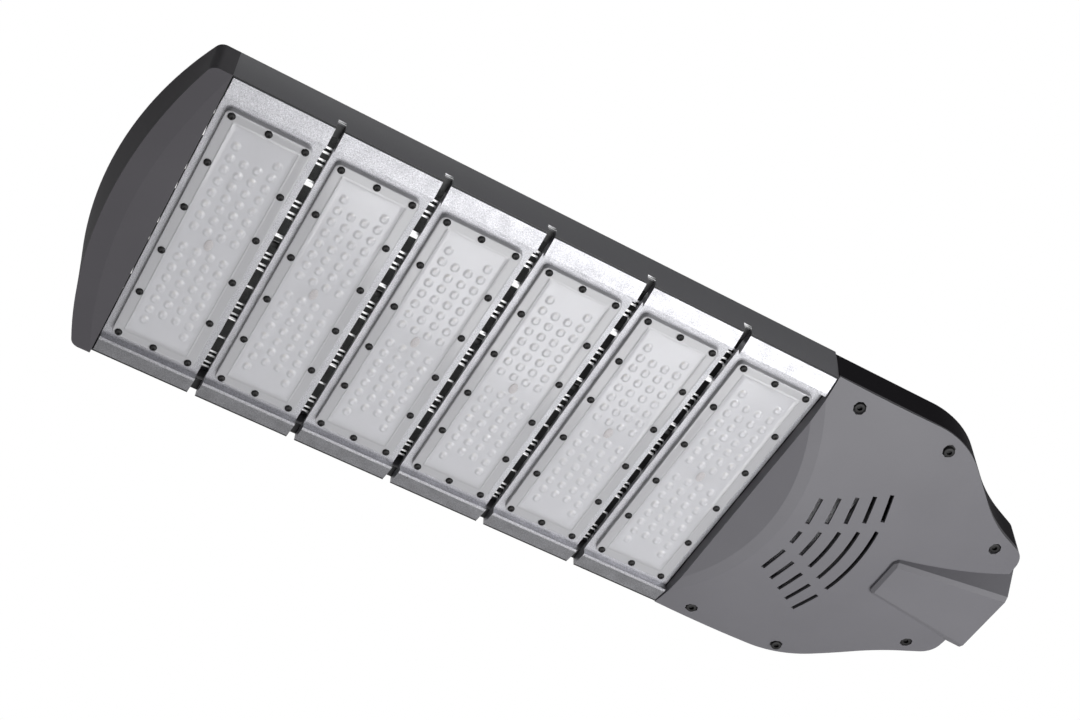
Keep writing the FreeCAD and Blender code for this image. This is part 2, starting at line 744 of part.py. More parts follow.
def crown_section(body, name, x, z, radius, side):
    """Section of what a crown takes away: beyond an arc across Y whose apex is at x and z.
    side is +1 for a roof and -1 for an underside."""
    reach = total(HALF_WIDTH, "Sizes.tool_overhang")
    edge = "(%d * (sqrt((%s)^2 - %s^2) - (%s)))" % (side, radius, reach, radius)
    beyond = "(%d * Sizes.roof_rise)" % side
    points = [(minus(reach), edge), (reach, edge), (reach, beyond), (minus(reach), beyond)]
    section = profile(body, name, "YZ_Plane", points, offset=x, arcs={0: (radius, side)})
    section.setExpression("AttachmentOffset.Base.y", z)
    return section


def crown_strip(body, name, x, z, radius, side, angle):
    """Trims a body to an arc across Y, extruded along X and tilted so that it falls to the rear."""
    section = crown_section(body, name + "Section", x, z, radius, side)
    section.AttachmentOffset = FreeCAD.Placement(section.AttachmentOffset.Base,
                                                 FreeCAD.Rotation(FreeCAD.Vector(1, 0, 0), 1))
    section.setExpression("AttachmentOffset.Rotation.Angle", angle)
    return pocket(body, name, section, "3 * Sizes.housing_length", both_ways=True)


CROWN_X = total(HOUSING_FRONT, "Sizes.crown_offset")
CROWN_STRIPS = int(SIZES["crown_strips"])
BELOW_COVER = total(MODULE_FACE, "-2 * Sizes.crown_drop")


def make_housing_form(name, inset, low):
    """Solid form of the gear housing above the split, smaller by inset all round."""
    body = make_body(name)
    high = total(MODULE_FACE, "Sizes.roof_rise", "Sizes.cut_margin")
    housing_prism(body, name, inset, low, high)
    apex = total(MODULE_FACE, "Sizes.roof_rise", minus(inset))
    radius = total("Sizes.roof_cross_radius", minus(inset))
    fall_start = total(HOUSING_FRONT, "Sizes.roof_level_length")
    crown_strip(body, name + "LevelRoof", fall_start, apex, radius, 1, "0")
    crown_strip(body, name + "FallingRoof", fall_start, apex, radius, 1, "Sizes.roof_fall_angle")
    return body


housing_outer = make_housing_form("HousingOuter", "0", SPLIT)


def on_roof_outline(edge):
    """True for the roof's outer edges, not for the crease where it starts to fall."""
    first, last = edge.Vertexes[0].Point, edge.Vertexes[-1].Point
    between_ends = number(HOUSING_FRONT) + 1 < first.x < number(HOUSING_REAR) - 1
    high = min(first.z, last.z) > number(total(SPLIT, half("Sizes.roof_rise")))
    return high and not (between_ends and first.y * last.y < 0)


doc.recompute()
round_edges(housing_outer, "RoofEdge", housing_outer.Tip, on_roof_outline, "Sizes.roof_edge_cut",
            kind="Chamfer")
housing_hollow = make_housing_form("HousingHollow", "Sizes.cast_wall",
                                   total(SPLIT, "-Sizes.cut_margin"))


def strip_crown(body, name, apex_z, cross_radius, long_radius):
    """Trims an underside to a crown curved both ways: strips along X, each an arc across Y, that
    touch an arc of the long radius at evenly spaced angles."""
    for strip in range(CROWN_STRIPS):
        angle = total("Sizes.crown_first_angle", "-%d * Sizes.crown_angle_step" % strip)
        lean = "(%s * 1 deg)" % angle
        x = total(CROWN_X, "-%s * sin(%s)" % (long_radius, lean))
        z = total(apex_z, "%s * (1 - cos(%s))" % (long_radius, lean))
        crown_strip(body, "%s%d" % (name, strip), x, z, cross_radius, -1, angle)


def smooth_crown(body, name, apex_z, cross_radius, long_radius):
    """Trims an underside to a crown curved both ways: a loft through arcs across Y whose apexes
    lie on an arc along X."""
    sections = []
    for place_in_loft in range(CROWN_STRIPS + 1):
        x = total(HOUSING_FRONT, "-Sizes.cut_margin", "%g * (Sizes.housing_length + 2 * Sizes.cut_margin)"
                  % (place_in_loft / CROWN_STRIPS))
        rise = "(%s - sqrt((%s)^2 - (%s - %s)^2))" % (long_radius, long_radius, x, CROWN_X)
        sections.append(crown_section(body, "%s%d" % (name, place_in_loft), x, total(apex_z, rise),
                                      cross_radius, -1))
    loft = body.newObject("PartDesign::SubtractiveLoft", name)
    loft.Profile = sections[0]
    loft.Sections = sections[1:]
    body.Tip = loft


def make_cover_form(name, inset, high, trim):
    """Solid form of the gear cover below the split, smaller by inset all round. trim is the
    function that crowns its underside."""
    body = make_body(name)
    housing_prism(body, name, inset, BELOW_COVER, high)
    apex = total(MODULE_FACE, "-Sizes.crown_drop", inset)
    trim(body, name + "Crown", apex, total("Sizes.crown_cross_radius", minus(inset)),
         total("Sizes.crown_long_radius", minus(inset)))
    near = total(HOUSING_FRONT, "-Sizes.cut_margin")
    slope = "tan(Sizes.ramp_angle * 1 deg)"
    ramp_start = total(MODULE_FACE, "-Sizes.ramp_drop", "%s / cos(Sizes.ramp_angle * 1 deg)" % inset)
    reach = "(2 * Sizes.crown_offset)"
    upper = total(ramp_start, "Sizes.cut_margin * " + slope)
    lower = total(ramp_start, "-%s * %s" % (reach, slope))
    wedge = profile(body, name + "RampSection", "XZ_Plane",
                    [(near, upper), (near, lower), (total(HOUSING_FRONT, reach), lower)])
    pocket(body, name + "Ramp", wedge, total(HALF_WIDTH, HALF_WIDTH, "Sizes.tool_overhang"),
           both_ways=True)
    return body


def add_tunnel(body, name, inset, front, rear, high):
    """Raised tunnel over the pole socket, narrow and steep at the front, wide at the rear."""
    plans = []
    rows = (("Front", front, "Sizes.tunnel_front_half_width", "Sizes.tunnel_front_drop",
             "Sizes.tunnel_front_flare"),
            ("Rear", rear, "Sizes.tunnel_rear_half_width", "Sizes.tunnel_rear_drop",
             "Sizes.tunnel_rear_flare"))
    for end, x, half_width, drop, flare in rows:
        bottom = total(MODULE_FACE, minus(drop), inset)
        low_half = total(half_width, minus(inset))
        high_half = total(low_half, flare)
        points = [(minus(low_half), bottom), (low_half, bottom), (high_half, high),
                  (minus(high_half), high)]
        plans.append(profile(body, name + end, "YZ_Plane", points, offset=x))
    loft = body.newObject("PartDesign::AdditiveLoft", name)
    loft.Profile = plans[0]
    loft.Sections = [plans[1]]
    loft.Ruled = True
    body.Tip = loft
    return loft


TUNNEL_FRONT = "(-Sizes.tunnel_length)"


def soften_cover(body, tunnel):
    """Bevels the tunnel's free edges and the crest behind the ramp."""
    front = number(HOUSING_FRONT)
    nose = FreeCAD.Vector(number(TUNNEL_FRONT), number("Sizes.tunnel_front_half_width"),
                          number(total(MODULE_FACE, "-Sizes.tunnel_front_drop")))

    def ends(edge):
        return edge.Vertexes[0].Point, edge.Vertexes[-1].Point

    def on_tunnel(edge):
        return any((FreeCAD.Vector(end.x, abs(end.y), end.z) - nose).Length < 1e-3
                   for end in ends(edge))

    def on_crest(edge):
        middle = edge.valueAt((edge.FirstParameter + edge.LastParameter) / 2)
        return all(abs(end.x - front) < 1e-3 for end in ends(edge)) and middle.x > front + 1

    feature = tunnel
    for name, chosen, size in (("TunnelEdges", on_tunnel, "Sizes.tunnel_edge_cut"),
                               ("Crest", on_crest, "Sizes.crest_cut")):
        feature = round_edges(body, name, feature, chosen, size, kind="Chamfer")


cover_outer = make_cover_form("CoverOuter", "0", SPLIT, smooth_crown)
soften_cover(cover_outer, add_tunnel(cover_outer, "Tunnel", "0", TUNNEL_FRONT, "0", SPLIT))
cover_hollow = make_cover_form("CoverHollow", "Sizes.cast_wall", total(SPLIT, "Sizes.cut_margin"),
                               strip_crown)
tunnel_hollow = make_body("TunnelHollow")
add_tunnel(tunnel_hollow, "TunnelSpace", "Sizes.tunnel_wall",
           total(TUNNEL_FRONT, "Sizes.cast_wall"), "Sizes.cut_margin",
           total(SPLIT, "Sizes.cut_margin"))
cover_shell = cut("CoverShell", cover_outer, fuse("CoverSpace", [cover_hollow, tunnel_hollow]))

# Louvres: five bowed rows, each a bowed slot between two short straight ones
LOUVRE_ROWS = int(SIZES["louvre_rows"])
louvres = []
louvre_height = total(SPLIT, minus(BELOW_COVER), "Sizes.cut_margin")
for row in range(LOUVRE_ROWS):
    apex = total(HOUSING_FRONT, "Sizes.louvre_first_offset", "%d * Sizes.louvre_pitch" % row)
    centre = total(apex, "-Sizes.louvre_arc_radius")
    middle = total("Sizes.louvre_middle_half", "%d * Sizes.louvre_middle_growth" % row)
    outer_start = total(middle, "Sizes.louvre_bridge")
    inner_radius = total("Sizes.louvre_arc_radius", minus(half("Sizes.louvre_width")))
    outer_radius = total("Sizes.louvre_arc_radius", half("Sizes.louvre_width"))
    band = cut("LouvreBand%d" % row,
               cylinder("LouvreOuter%d" % row, outer_radius, louvre_height, centre, "0", BELOW_COVER),
               cylinder("LouvreInner%d" % row, inner_radius, louvre_height, centre, "0", BELOW_COVER))
    window = block("LouvreWindow%d" % row, "2 * Sizes.louvre_pitch", total(middle, middle),
                   louvre_height, total(apex, "-Sizes.louvre_pitch"), minus(middle), BELOW_COVER)
    louvres.append(common("Louvre%d" % row, band, window))
    back = half("Sizes.louvre_outer_length")
    turn = "asin(%s / Sizes.louvre_arc_radius)" % total(outer_start, back)
    for side in (-1, 1):
        slot = block("Louvre%d_%d" % (row, side + 1), "Sizes.louvre_width",
                     "Sizes.louvre_outer_length", louvre_height)
        along = "(%d * %s)" % (side, turn)
        place(slot,
              total(centre, "%s * cos(%s)" % (inner_radius, along), "%s * sin(%s)" % (back, along)),
              total("%s * sin(%s)" % (inner_radius, along), "-%s * cos(%s)" % (back, along)),
              BELOW_COVER)
        slot.setExpression("Placement.Rotation.Angle", along)
        louvres.append(slot)

# Cover screws, with a boss on each side of the split
COVER_SCREWS = []
for offset, side_offset in (("Sizes.cover_screw_front_offset", "Sizes.cover_screw_side_offset"),
                            ("Sizes.cover_screw_middle_offset", "Sizes.cover_screw_side_offset"),
                            ("Sizes.cover_screw_rear_offset", "Sizes.cover_screw_rear_side")):
    COVER_SCREWS += on_both_sides(total(HOUSING_FRONT, offset), side_offset)
HEAD_SEAT = total(SPLIT, "-Sizes.cover_flange")
COVER_LOW = total(MODULE_FACE, "-Sizes.crown_drop")
hole_radius = total("Sizes.cover_screw_radius", "Sizes.screw_hole_clearance")
cover_bosses = []
cover_holes = []
housing_posts = []
housing_holes = []
cover_screws = []
for spot, (x, y) in enumerate(COVER_SCREWS, start=1):
    cover_bosses.append(prism("CoverBoss%d" % spot, "Sizes.boss_radius",
                              total(SPLIT, minus(COVER_LOW)), x, y, COVER_LOW,
                              sides="Sizes.boss_sides"))
    cover_holes.append(prism("Counterbore%d" % spot, "Sizes.counterbore_radius",
                             total(HEAD_SEAT, minus(COVER_LOW)), x, y, COVER_LOW,
                             sides="Sizes.boss_sides"))
    cover_holes.append(prism("CoverHole%d" % spot, hole_radius,
                             total(SPLIT, minus(COVER_LOW), "Sizes.cut_margin"), x, y, COVER_LOW))
    housing_posts.append(prism("HousingPost%d" % spot, "Sizes.boss_radius",
                               "Sizes.roof_rise - Sizes.split_rise", x, y, SPLIT))
    housing_holes.append(prism("PostHole%d" % spot, hole_radius,
                               "Sizes.cover_screw_length + Sizes.cut_margin", x, y,
                               total(SPLIT, "-Sizes.cut_margin")))
    shank = prism("CoverScrewShank%d" % spot, "Sizes.cover_screw_radius",
                  total("Sizes.cover_flange", "Sizes.cover_screw_length", "-Sizes.cut_margin"),
                  x, y, HEAD_SEAT)
    head = prism("CoverScrewHead%d" % spot, "Sizes.cover_screw_head_radius",
                 "Sizes.cover_screw_head_height", x, y,
                 total(HEAD_SEAT, "-Sizes.cover_screw_head_height"))
    cover_screws.append(fuse("CoverScrew%d" % spot, [shank, head]))
keep(group("cover_screws", cover_screws))
cover_lugs = common("CoverLugs", fuse("CoverBosses", cover_bosses), cover_outer)
cover_solid = fuse("CoverSolid", [cover_shell, cover_lugs])
keep(cut("rear_cover", cover_solid, fuse("CoverCuts", louvres + cover_holes)))

# Pole socket, cast in one with the housing
SOCKET_OUTER = total("Sizes.socket_radius", "Sizes.socket_wall")
SOCKET_END = total("-Sizes.socket_depth", "-Sizes.socket_end_wall")
socket_tube = prism("SocketTube", SOCKET_OUTER, minus(SOCKET_END), SOCKET_END, axis="x",
                    sides="Sizes.tube_sides")
socket_web = block("SocketWeb", total(HOUSING_REAR, minus(SOCKET_END)), "2 * Sizes.socket_wall",
                   "Sizes.roof_rise", SOCKET_END, "-Sizes.socket_wall",
                   total(SOCKET_OUTER, minus(half("Sizes.socket_wall"))))
socket_bore = cylinder("SocketBore", "Sizes.socket_radius", "Sizes.socket_depth + Sizes.cut_margin",
                       "-Sizes.socket_depth", axis="x")
gland_hole = prism("GlandHole", "Sizes.cable_hole_radius", "2 * Sizes.socket_end_wall",
                   total(SOCKET_END, "-Sizes.cut_margin"), axis="x", sides="Sizes.boss_sides")
clamp_bosses = []
clamp_holes = []
clamp_bolts = []
for place_in_row, x in enumerate(("-Sizes.clamp_first_depth",
                                  total("-Sizes.clamp_first_depth", "-Sizes.clamp_pitch"))):
    for side, axis in ((-1, "-y"), (1, "y")):
        tag = "%d%s" % (place_in_row, "Left" if side < 0 else "Right")
        bore_wall = "(%d * Sizes.socket_radius)" % side
        tip = "(%d * (Sizes.socket_radius + Sizes.clamp_bolt_retreat))" % side
        seat = "(%d * (%s + Sizes.clamp_boss_height))" % (side, SOCKET_OUTER)
        root = "(%d * (%s - %s))" % (side, SOCKET_OUTER, half("Sizes.socket_wall"))
        clamp_bosses.append(prism("ClampBoss" + tag, "Sizes.clamp_boss_radius",
                                  total("Sizes.clamp_boss_height", half("Sizes.socket_wall")),
                                  x, root, "0", axis))
        clamp_holes.append(prism("ClampHole" + tag,
                                 total("Sizes.clamp_bolt_radius", "Sizes.screw_hole_clearance"),
                                 total("Sizes.socket_wall", "Sizes.clamp_boss_height",
                                       "Sizes.cut_margin"), x, bore_wall, "0", axis))
        shank = prism("ClampShank" + tag, "Sizes.clamp_bolt_radius",
                      total("Sizes.socket_wall", "Sizes.clamp_boss_height",
                            "-Sizes.clamp_bolt_retreat"), x, tip, "0", axis)
        head = prism("ClampHead" + tag, "Sizes.clamp_head_radius", "Sizes.clamp_head_height",
                     x, seat, "0", axis)
        clamp_bolts.append(fuse("ClampBolt" + tag, [shank, head]))
keep(group("pole_clamp_bolts", clamp_bolts))

# Gear tray, hung from four posts under the roof
TRAY_BOTTOM = total(MODULE_FACE, "Sizes.tray_rise")
TRAY_TOP = total(TRAY_BOTTOM, "Sizes.tray_thickness")
TRAY_FRONT = total(HOUSING_FRONT, "Sizes.cast_wall", "Sizes.tray_front_gap")
TRAY_REAR = total(TRAY_FRONT, "Sizes.tray_length")
tray_screw_spots = [(x, y) for x in (total(TRAY_FRONT, "Sizes.tray_screw_inset"),
                                     total(TRAY_REAR, "-Sizes.tray_screw_inset"))
                    for y in (total(minus(half("Sizes.tray_width")), "Sizes.tray_screw_inset"),
                              total(half("Sizes.tray_width"), "-Sizes.tray_screw_inset"))]
for spot, (x, y) in enumerate(tray_screw_spots, start=1):
    housing_posts.append(prism("TrayPost%d" % spot, "Sizes.tray_post_radius", "Sizes.roof_rise",
                               x, y, TRAY_TOP))
screw_heads("tray_screws", tray_screw_spots, total(TRAY_BOTTOM, minus(HEAD_HEIGHT)))
GEAR_FRONT = total(TRAY_FRONT, "Sizes.gear_gap")
GEAR_REAR = total(GEAR_FRONT, "Sizes.driver_width", "Sizes.gear_row_gap", "Sizes.arrester_width")
FOOT_BOTTOM = total(TRAY_BOTTOM, "-Sizes.driver_foot_thickness")
driver_middle = total(GEAR_FRONT, half("Sizes.driver_width"))
driver_screw_y = total(half("Sizes.driver_length"), half("Sizes.driver_foot_reach"))
driver_screw_spots = []
for end in (-1, 1):
    driver_screw_spots += on_both_sides(total(driver_middle, "%d * Sizes.driver_screw_offset" % end),
                                        driver_screw_y)
screw_heads("driver_screws", driver_screw_spots, total(FOOT_BOTTOM, minus(HEAD_HEIGHT)))
keep(block("gear_tray", "Sizes.tray_length", "Sizes.tray_width", "Sizes.tray_thickness",
           TRAY_FRONT, minus(half("Sizes.tray_width")), TRAY_BOTTOM))

# Housing: shell, posts and socket in one casting
posts = common("HousingInside", fuse("HousingPosts", housing_posts + [socket_web]), housing_outer)
housing_shell = cut("HousingShell", housing_outer, housing_hollow)
housing_tongues = make_tongues("HousingTongue", HOUSING_FRONT, total(HOUSING_FRONT, "Sizes.cast_wall"),
                               total(HOUSING_FRONT, "-Sizes.tongue_length"),
                               total(HOUSING_FRONT, "Sizes.cut_margin"))
housing_solid = fuse("HousingSolid",
                     [housing_shell, posts, socket_tube] + clamp_bosses + housing_tongues)
grommet_hole = prism("GrommetHole", "Sizes.grommet_radius", "2 * Sizes.cast_wall",
                     total(HOUSING_FRONT, "-Sizes.cut_margin"), CABLE_Y, CABLE_Z, "x",
                     "Sizes.boss_sides")
keep(cut("gear_housing", housing_solid,
         fuse("HousingCuts", [socket_bore, gland_hole, grommet_hole] + clamp_holes + housing_holes)))

# Gear under the tray

def make_driver():
    """LED driver: a bevelled aluminium case with a mounting foot at each end."""
    body = make_body("led_driver")
    low = total(TRAY_BOTTOM, "-Sizes.driver_height")
    outline = rectangle(body, "DriverOutline", "XZ_Plane", (GEAR_FRONT, low),
                        (total(GEAR_FRONT, "Sizes.driver_width"), TRAY_BOTTOM))
    case = pad(body, "DriverCase", outline, "Sizes.driver_length", both_ways=True)
    bottom = number(low)
    round_edges(body, "DriverEdges", case,
                lambda edge: all(abs(end.Z - bottom) < 1e-3 for end in edge.Vertexes)
                and abs(edge.Vertexes[0].X - edge.Vertexes[-1].X) < 1e-3,
                "Sizes.driver_edge_cut", kind="Chamfer")
    foot = rectangle(body, "FootOutline", "XY_Plane",
                     (total(GEAR_FRONT, "Sizes.driver_edge_cut"),
                      total(minus(half("Sizes.driver_length")), "-Sizes.driver_foot_reach")),
                     (total(GEAR_FRONT, "Sizes.driver_width", "-Sizes.driver_edge_cut"),
                      total(half("Sizes.driver_length"), "Sizes.driver_foot_reach")),
                     offset=TRAY_BOTTOM)
    pad(body, "DriverFeet", foot, "Sizes.driver_foot_thickness", backwards=True)
    return keep(body)


def make_gear_box(label, length, width, height, y, edge):
    """Small device under the tray, with its two long lower edges bevelled."""
    body = make_body(label)
    low = total(TRAY_BOTTOM, minus(height))
    side = half(length)
    points = [(total(y, minus(side)), TRAY_BOTTOM), (total(y, minus(side)), total(low, edge)),
              (total(y, minus(side), edge), low), (total(y, side, minus(edge)), low),
              (total(y, side), total(low, edge)), (total(y, side), TRAY_BOTTOM)]
    section = profile(body, label + "Section", "YZ_Plane", points, offset=total(GEAR_REAR, minus(width)))
    pad(body, label + "Pad", section, width)
    return keep(body)


make_driver()
make_gear_box("surge_arrester", "Sizes.arrester_length", "Sizes.arrester_width",
              "Sizes.arrester_height", "-Sizes.gear_side_offset", "Sizes.gear_bevel")
make_gear_box("terminal_block", "Sizes.terminal_length", "Sizes.terminal_width",
              "Sizes.terminal_height", "Sizes.gear_side_offset", "Sizes.gear_bevel")

# Cable gland in the socket's end wall
gland_start = total(SOCKET_END, "-Sizes.gland_nut_length")
gland_stem = prism("GlandStem", total("Sizes.cable_hole_radius", "-Sizes.screw_hole_clearance"),
                   "Sizes.socket_end_wall", SOCKET_END, axis="x", sides="Sizes.boss_sides")
gland_nut = prism("GlandNut", "Sizes.gland_nut_radius", "Sizes.gland_nut_length", gland_start,
                  axis="x")
gland_bore = prism("GlandBore", "Sizes.gland_bore_radius",
                   total("Sizes.gland_nut_length", "2 * Sizes.socket_end_wall"),
                   total(gland_start, "-Sizes.cut_margin"), axis="x")
keep(cut("cable_gland", fuse("GlandBody", [gland_stem, gland_nut]), gland_bore))

# LED lead: one cable over the heat sinks, sealed into an outlet on each, through a grommet
outlets = []
for module in range(1, COUNT + 1):
    outlets.append(block("Outlet%d" % module, "Sizes.outlet_length", "Sizes.outlet_width",
                         "Sizes.outlet_height",
                         total(module_x(module), minus(half("Sizes.outlet_length"))),
                         total(CABLE_Y, minus(half("Sizes.outlet_width"))), BASE_TOP))
lead_hole = "Sizes.cable_radius + Sizes.cable_clearance"
cable_start = total(module_x(1), minus(half("Sizes.outlet_length")), "-Sizes.cable_end")
cable_space = prism("CableSpace", lead_hole, total(HOUSING_FRONT, minus(cable_start)),
                    total(cable_start, "-Sizes.cut_margin"), CABLE_Y, CABLE_Z, "x",
                    "Sizes.boss_sides")
keep(cut("wire_outlets", group("Outlets", outlets), cable_space))
keep(prism("led_lead", "Sizes.cable_radius", total(GEAR_FRONT, minus(cable_start)), cable_start,
           CABLE_Y, CABLE_Z, "x", "Sizes.boss_sides"))
grommet_body = prism("GrommetBody", total("Sizes.grommet_radius", "-Sizes.cable_clearance"),
                     "Sizes.cast_wall", HOUSING_FRONT, CABLE_Y, CABLE_Z, "x", "Sizes.boss_sides")
grommet_flange = prism("GrommetFlange", total("Sizes.grommet_radius", "Sizes.grommet_flange"),
                       "Sizes.grommet_flange", total(HOUSING_FRONT, "Sizes.cast_wall"), CABLE_Y,
                       CABLE_Z, "x", "Sizes.boss_sides")
grommet_bore = prism("GrommetBore", lead_hole, "4 * Sizes.cast_wall",
                     total(HOUSING_FRONT, "-Sizes.cast_wall"), CABLE_Y, CABLE_Z, "x",
                     "Sizes.boss_sides")
keep(cut("lead_grommet", fuse("GrommetSolid", [grommet_body, grommet_flange]), grommet_bore))

doc.recompute()
for item in doc.Objects:
    if "Invalid" in item.State or "Error" in item.State:
        raise RuntimeError("%s failed: %s" % (item.Name, item.getStatusString()))
os.makedirs("parts", exist_ok=True)
for item in sub_parts:
    shape = item.Shape
    if shape.isNull() or not shape.isValid():
        raise RuntimeError("%s has no valid shape" % item.Label)
    shape.exportStep("parts/%s.step" % item.Label)
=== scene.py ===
import math

import bmesh
import bpy
from mathutils import Matrix, Vector


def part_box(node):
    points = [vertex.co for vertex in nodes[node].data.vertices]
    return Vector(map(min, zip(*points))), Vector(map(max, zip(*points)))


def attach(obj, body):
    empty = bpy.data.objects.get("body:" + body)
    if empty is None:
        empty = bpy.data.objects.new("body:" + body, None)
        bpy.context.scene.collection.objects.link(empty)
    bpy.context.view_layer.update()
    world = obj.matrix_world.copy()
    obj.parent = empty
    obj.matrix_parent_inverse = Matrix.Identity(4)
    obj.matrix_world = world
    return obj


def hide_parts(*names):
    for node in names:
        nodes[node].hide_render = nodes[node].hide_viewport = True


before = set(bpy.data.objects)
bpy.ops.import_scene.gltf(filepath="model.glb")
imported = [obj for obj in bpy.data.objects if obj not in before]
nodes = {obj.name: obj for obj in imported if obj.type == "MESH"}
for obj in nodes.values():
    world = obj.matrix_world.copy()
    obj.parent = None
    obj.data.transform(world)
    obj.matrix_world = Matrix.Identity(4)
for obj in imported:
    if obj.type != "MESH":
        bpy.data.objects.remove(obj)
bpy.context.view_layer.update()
MM = 0.001
MODULES = range(1, 7)


# Camera: the photograph's viewing angle, from below the nose on the -Y side
CAMERA_PLACE = (-0.9173, -0.8403, -1.2950)
CAMERA_RIGHT = Vector((0.870, -0.493, 0.025))
CAMERA_FORWARD = Vector((0.266, 0.512, 0.817))
CAMERA_LENS = 60.47
SENSOR_WIDTH = 36.0


def make_camera():
    forward = CAMERA_FORWARD.normalized()
    right = (CAMERA_RIGHT - forward * CAMERA_RIGHT.dot(forward)).normalized()
    up = right.cross(forward)
    camera = bpy.data.cameras.new("camera")
    camera.lens = CAMERA_LENS
    camera.sensor_width = SENSOR_WIDTH
    camera.clip_end = 50.0
    holder = bpy.data.objects.new("camera", camera)
    turn = Matrix((right, up, -forward)).transposed().to_4x4()
    holder.matrix_world = Matrix.Translation(CAMERA_PLACE) @ turn
    bpy.context.scene.collection.objects.link(holder)
    bpy.context.scene.camera = holder


make_camera()


# Height of the rails' slots at the gaps between the modules; the fins over a gap start there
RAIL_SLOT_HEIGHT = 11 * MM
# Depth from the rail's widest place to the inner side of its outer wall
RAIL_WALL = 2.4 * MM
# Height of a heat sink's bare base, below its black fins
SINK_BASE_HEIGHT = 12.5 * MM
# Length at each end of the heat sinks and rails that the cap and the housing hide
COVERED_END = 5 * MM
# Downward faces of a rail count as cut this near to a slot's top, and as the rail's underside,
# which is painted black as shade, this far below it
CUT_BAND = 0.3 * MM
UNDERSIDE_DEPTH = 0.4 * MM
# Slack when a place is compared with a face of the rail
NEAR = 0.1 * MM
# Distance within which two heights or ends are the same
SAME = 0.01 * MM
# Distance within which two corners become one
MERGE = 0.001 * MM


# Materials

# The fins' black finish, and painted shade on the rails' underside and inside their slots
NEARLY_BLACK = (0.006, 0.006, 0.007)
# Range that most values of a noise lie in
NOISE_LOW, NOISE_HIGH = 0.3, 0.7
# Share by which a powder coat's tone changes
COAT_SPREAD = 0.06
# Least part of a normal along an axis for the face to count as facing that way
FACING_UP = 0.5
FACING_ALONG = 0.9


def shade(colour, factor):
    return tuple(channel * factor for channel in colour)


class Graph:
    """Short way to write the node tree of a material or of the world."""

    def __init__(self, owner):
        owner.use_nodes = True
        self.tree = owner.node_tree
        self.tree.nodes.clear()

    def set(self, made, socket, value):
        """Gives a node's socket a number or colour, or a link when the value is a socket."""
        if isinstance(value, bpy.types.NodeSocket):
            self.tree.links.new(value, made.inputs[socket])
        else:
            made.inputs[socket].default_value = value

    def link(self, source, target):
        self.tree.links.new(source, target)

    def math(self, operation, first, second=None, third=None, clamp=False):
        made = self.tree.nodes.new("ShaderNodeMath")
        made.operation = operation
        made.use_clamp = clamp
        for place, value in enumerate((first, second, third)):
            if value is not None:
                self.set(made, place, value)
        return made.outputs[0]

    def geometry(self, kind):
        """Position or True Normal of the place that is shaded."""
        return self.tree.nodes.new("ShaderNodeNewGeometry").outputs[kind]

    def split(self, vector):
        """Sockets X, Y and Z of a vector."""
        made = self.tree.nodes.new("ShaderNodeSeparateXYZ")
        self.link(vector, made.inputs[0])
        return made.outputs

    def noise(self, scale, detail=2.0, roughness=0.5):
        """Noise in the head's own space; the scale counts its cells in a metre."""
        made = self.tree.nodes.new("ShaderNodeTexNoise")
        made.inputs["Scale"].default_value = scale
        made.inputs["Detail"].default_value = detail
        made.inputs["Roughness"].default_value = roughness
        self.link(self.geometry("Position"), made.inputs["Vector"])
        return made.outputs["Fac"]

    def span(self, value, low, high, new_low=0.0, new_high=1.0):
        """Value mapped from low..high to new_low..new_high."""
        made = self.tree.nodes.new("ShaderNodeMapRange")
        for place, number in enumerate((value, low, high, new_low, new_high)):
            self.set(made, place, number)
        return made.outputs[0]

    def mix(self, factor, first, second):
        made = self.tree.nodes.new("ShaderNodeMix")
        made.data_type = "RGBA"
        for socket, value in ((0, factor), (6, first), (7, second)):
            if isinstance(value, tuple):
                value = (*value[:3], 1.0)
            self.set(made, socket, value)
        return made.outputs[2]

    def toned(self, colour, noise, spread):
        """Colour that a noise makes darker and lighter by the spread's share."""
        tone = self.span(noise, NOISE_LOW, NOISE_HIGH)
        return self.mix(tone, shade(colour, 1 - spread), shade(colour, 1 + spread))

    def bump(self, height, strength, distance):
        made = self.tree.nodes.new("ShaderNodeBump")
        made.inputs["Strength"].default_value = strength
        made.inputs["Distance"].default_value = distance
        self.link(height, made.inputs["Height"])
        return made.outputs["Normal"]

    def surface(self, **values):
        shader = self.tree.nodes.new("ShaderNodeBsdfPrincipled")
        for name, value in values.items():
            if isinstance(value, tuple) and len(value) == 3:
                value = (*value, 1.0)
            self.set(shader, name.replace("_", " "), value)
        out = self.tree.nodes.new("ShaderNodeOutputMaterial")
        self.link(shader.outputs[0], out.inputs["Surface"])

    def background(self, strength):
        """White light from all around."""
        made = self.tree.nodes.new("ShaderNodeBackground")
        made.inputs["Color"].default_value = (1, 1, 1, 1)
        self.set(made, "Strength", strength)
        return made.outputs[0]

    def blend(self, factor, first, second):
        """First shader where the factor is 0, second where it is 1."""
        made = self.tree.nodes.new("ShaderNodeMixShader")
        for place, source in enumerate((factor, first, second)):
            self.link(source, made.inputs[place])
        return made.outputs[0]


def powder_coat(name, colour, roughness, specular, grain=0.6 * MM):
    """Textured powder coat: orange-peel bump at the grain's size and slight tone changes."""
    material = bpy.data.materials.new(name)
    graph = Graph(material)
    fine = graph.noise(1.0 / grain, detail=3.0, roughness=0.6)
    broad = graph.noise(14.0, detail=3.0)
    both = graph.math("ADD", graph.math("MULTIPLY", fine, 0.5),
                      graph.math("MULTIPLY", broad, 0.5))
    rough = graph.span(fine, 0.2, 0.8, roughness - 0.04, roughness + 0.05)
    graph.surface(Base_Color=graph.toned(colour, both, COAT_SPREAD), Roughness=rough,
                  Specular_IOR_Level=specular, Normal=graph.bump(fine, 0.12, grain))
    return material


def give(node, material):
    """Puts one material on all of a node's slots."""
    mesh = nodes[node].data
    mesh.materials.clear()
    mesh.materials.append(material)


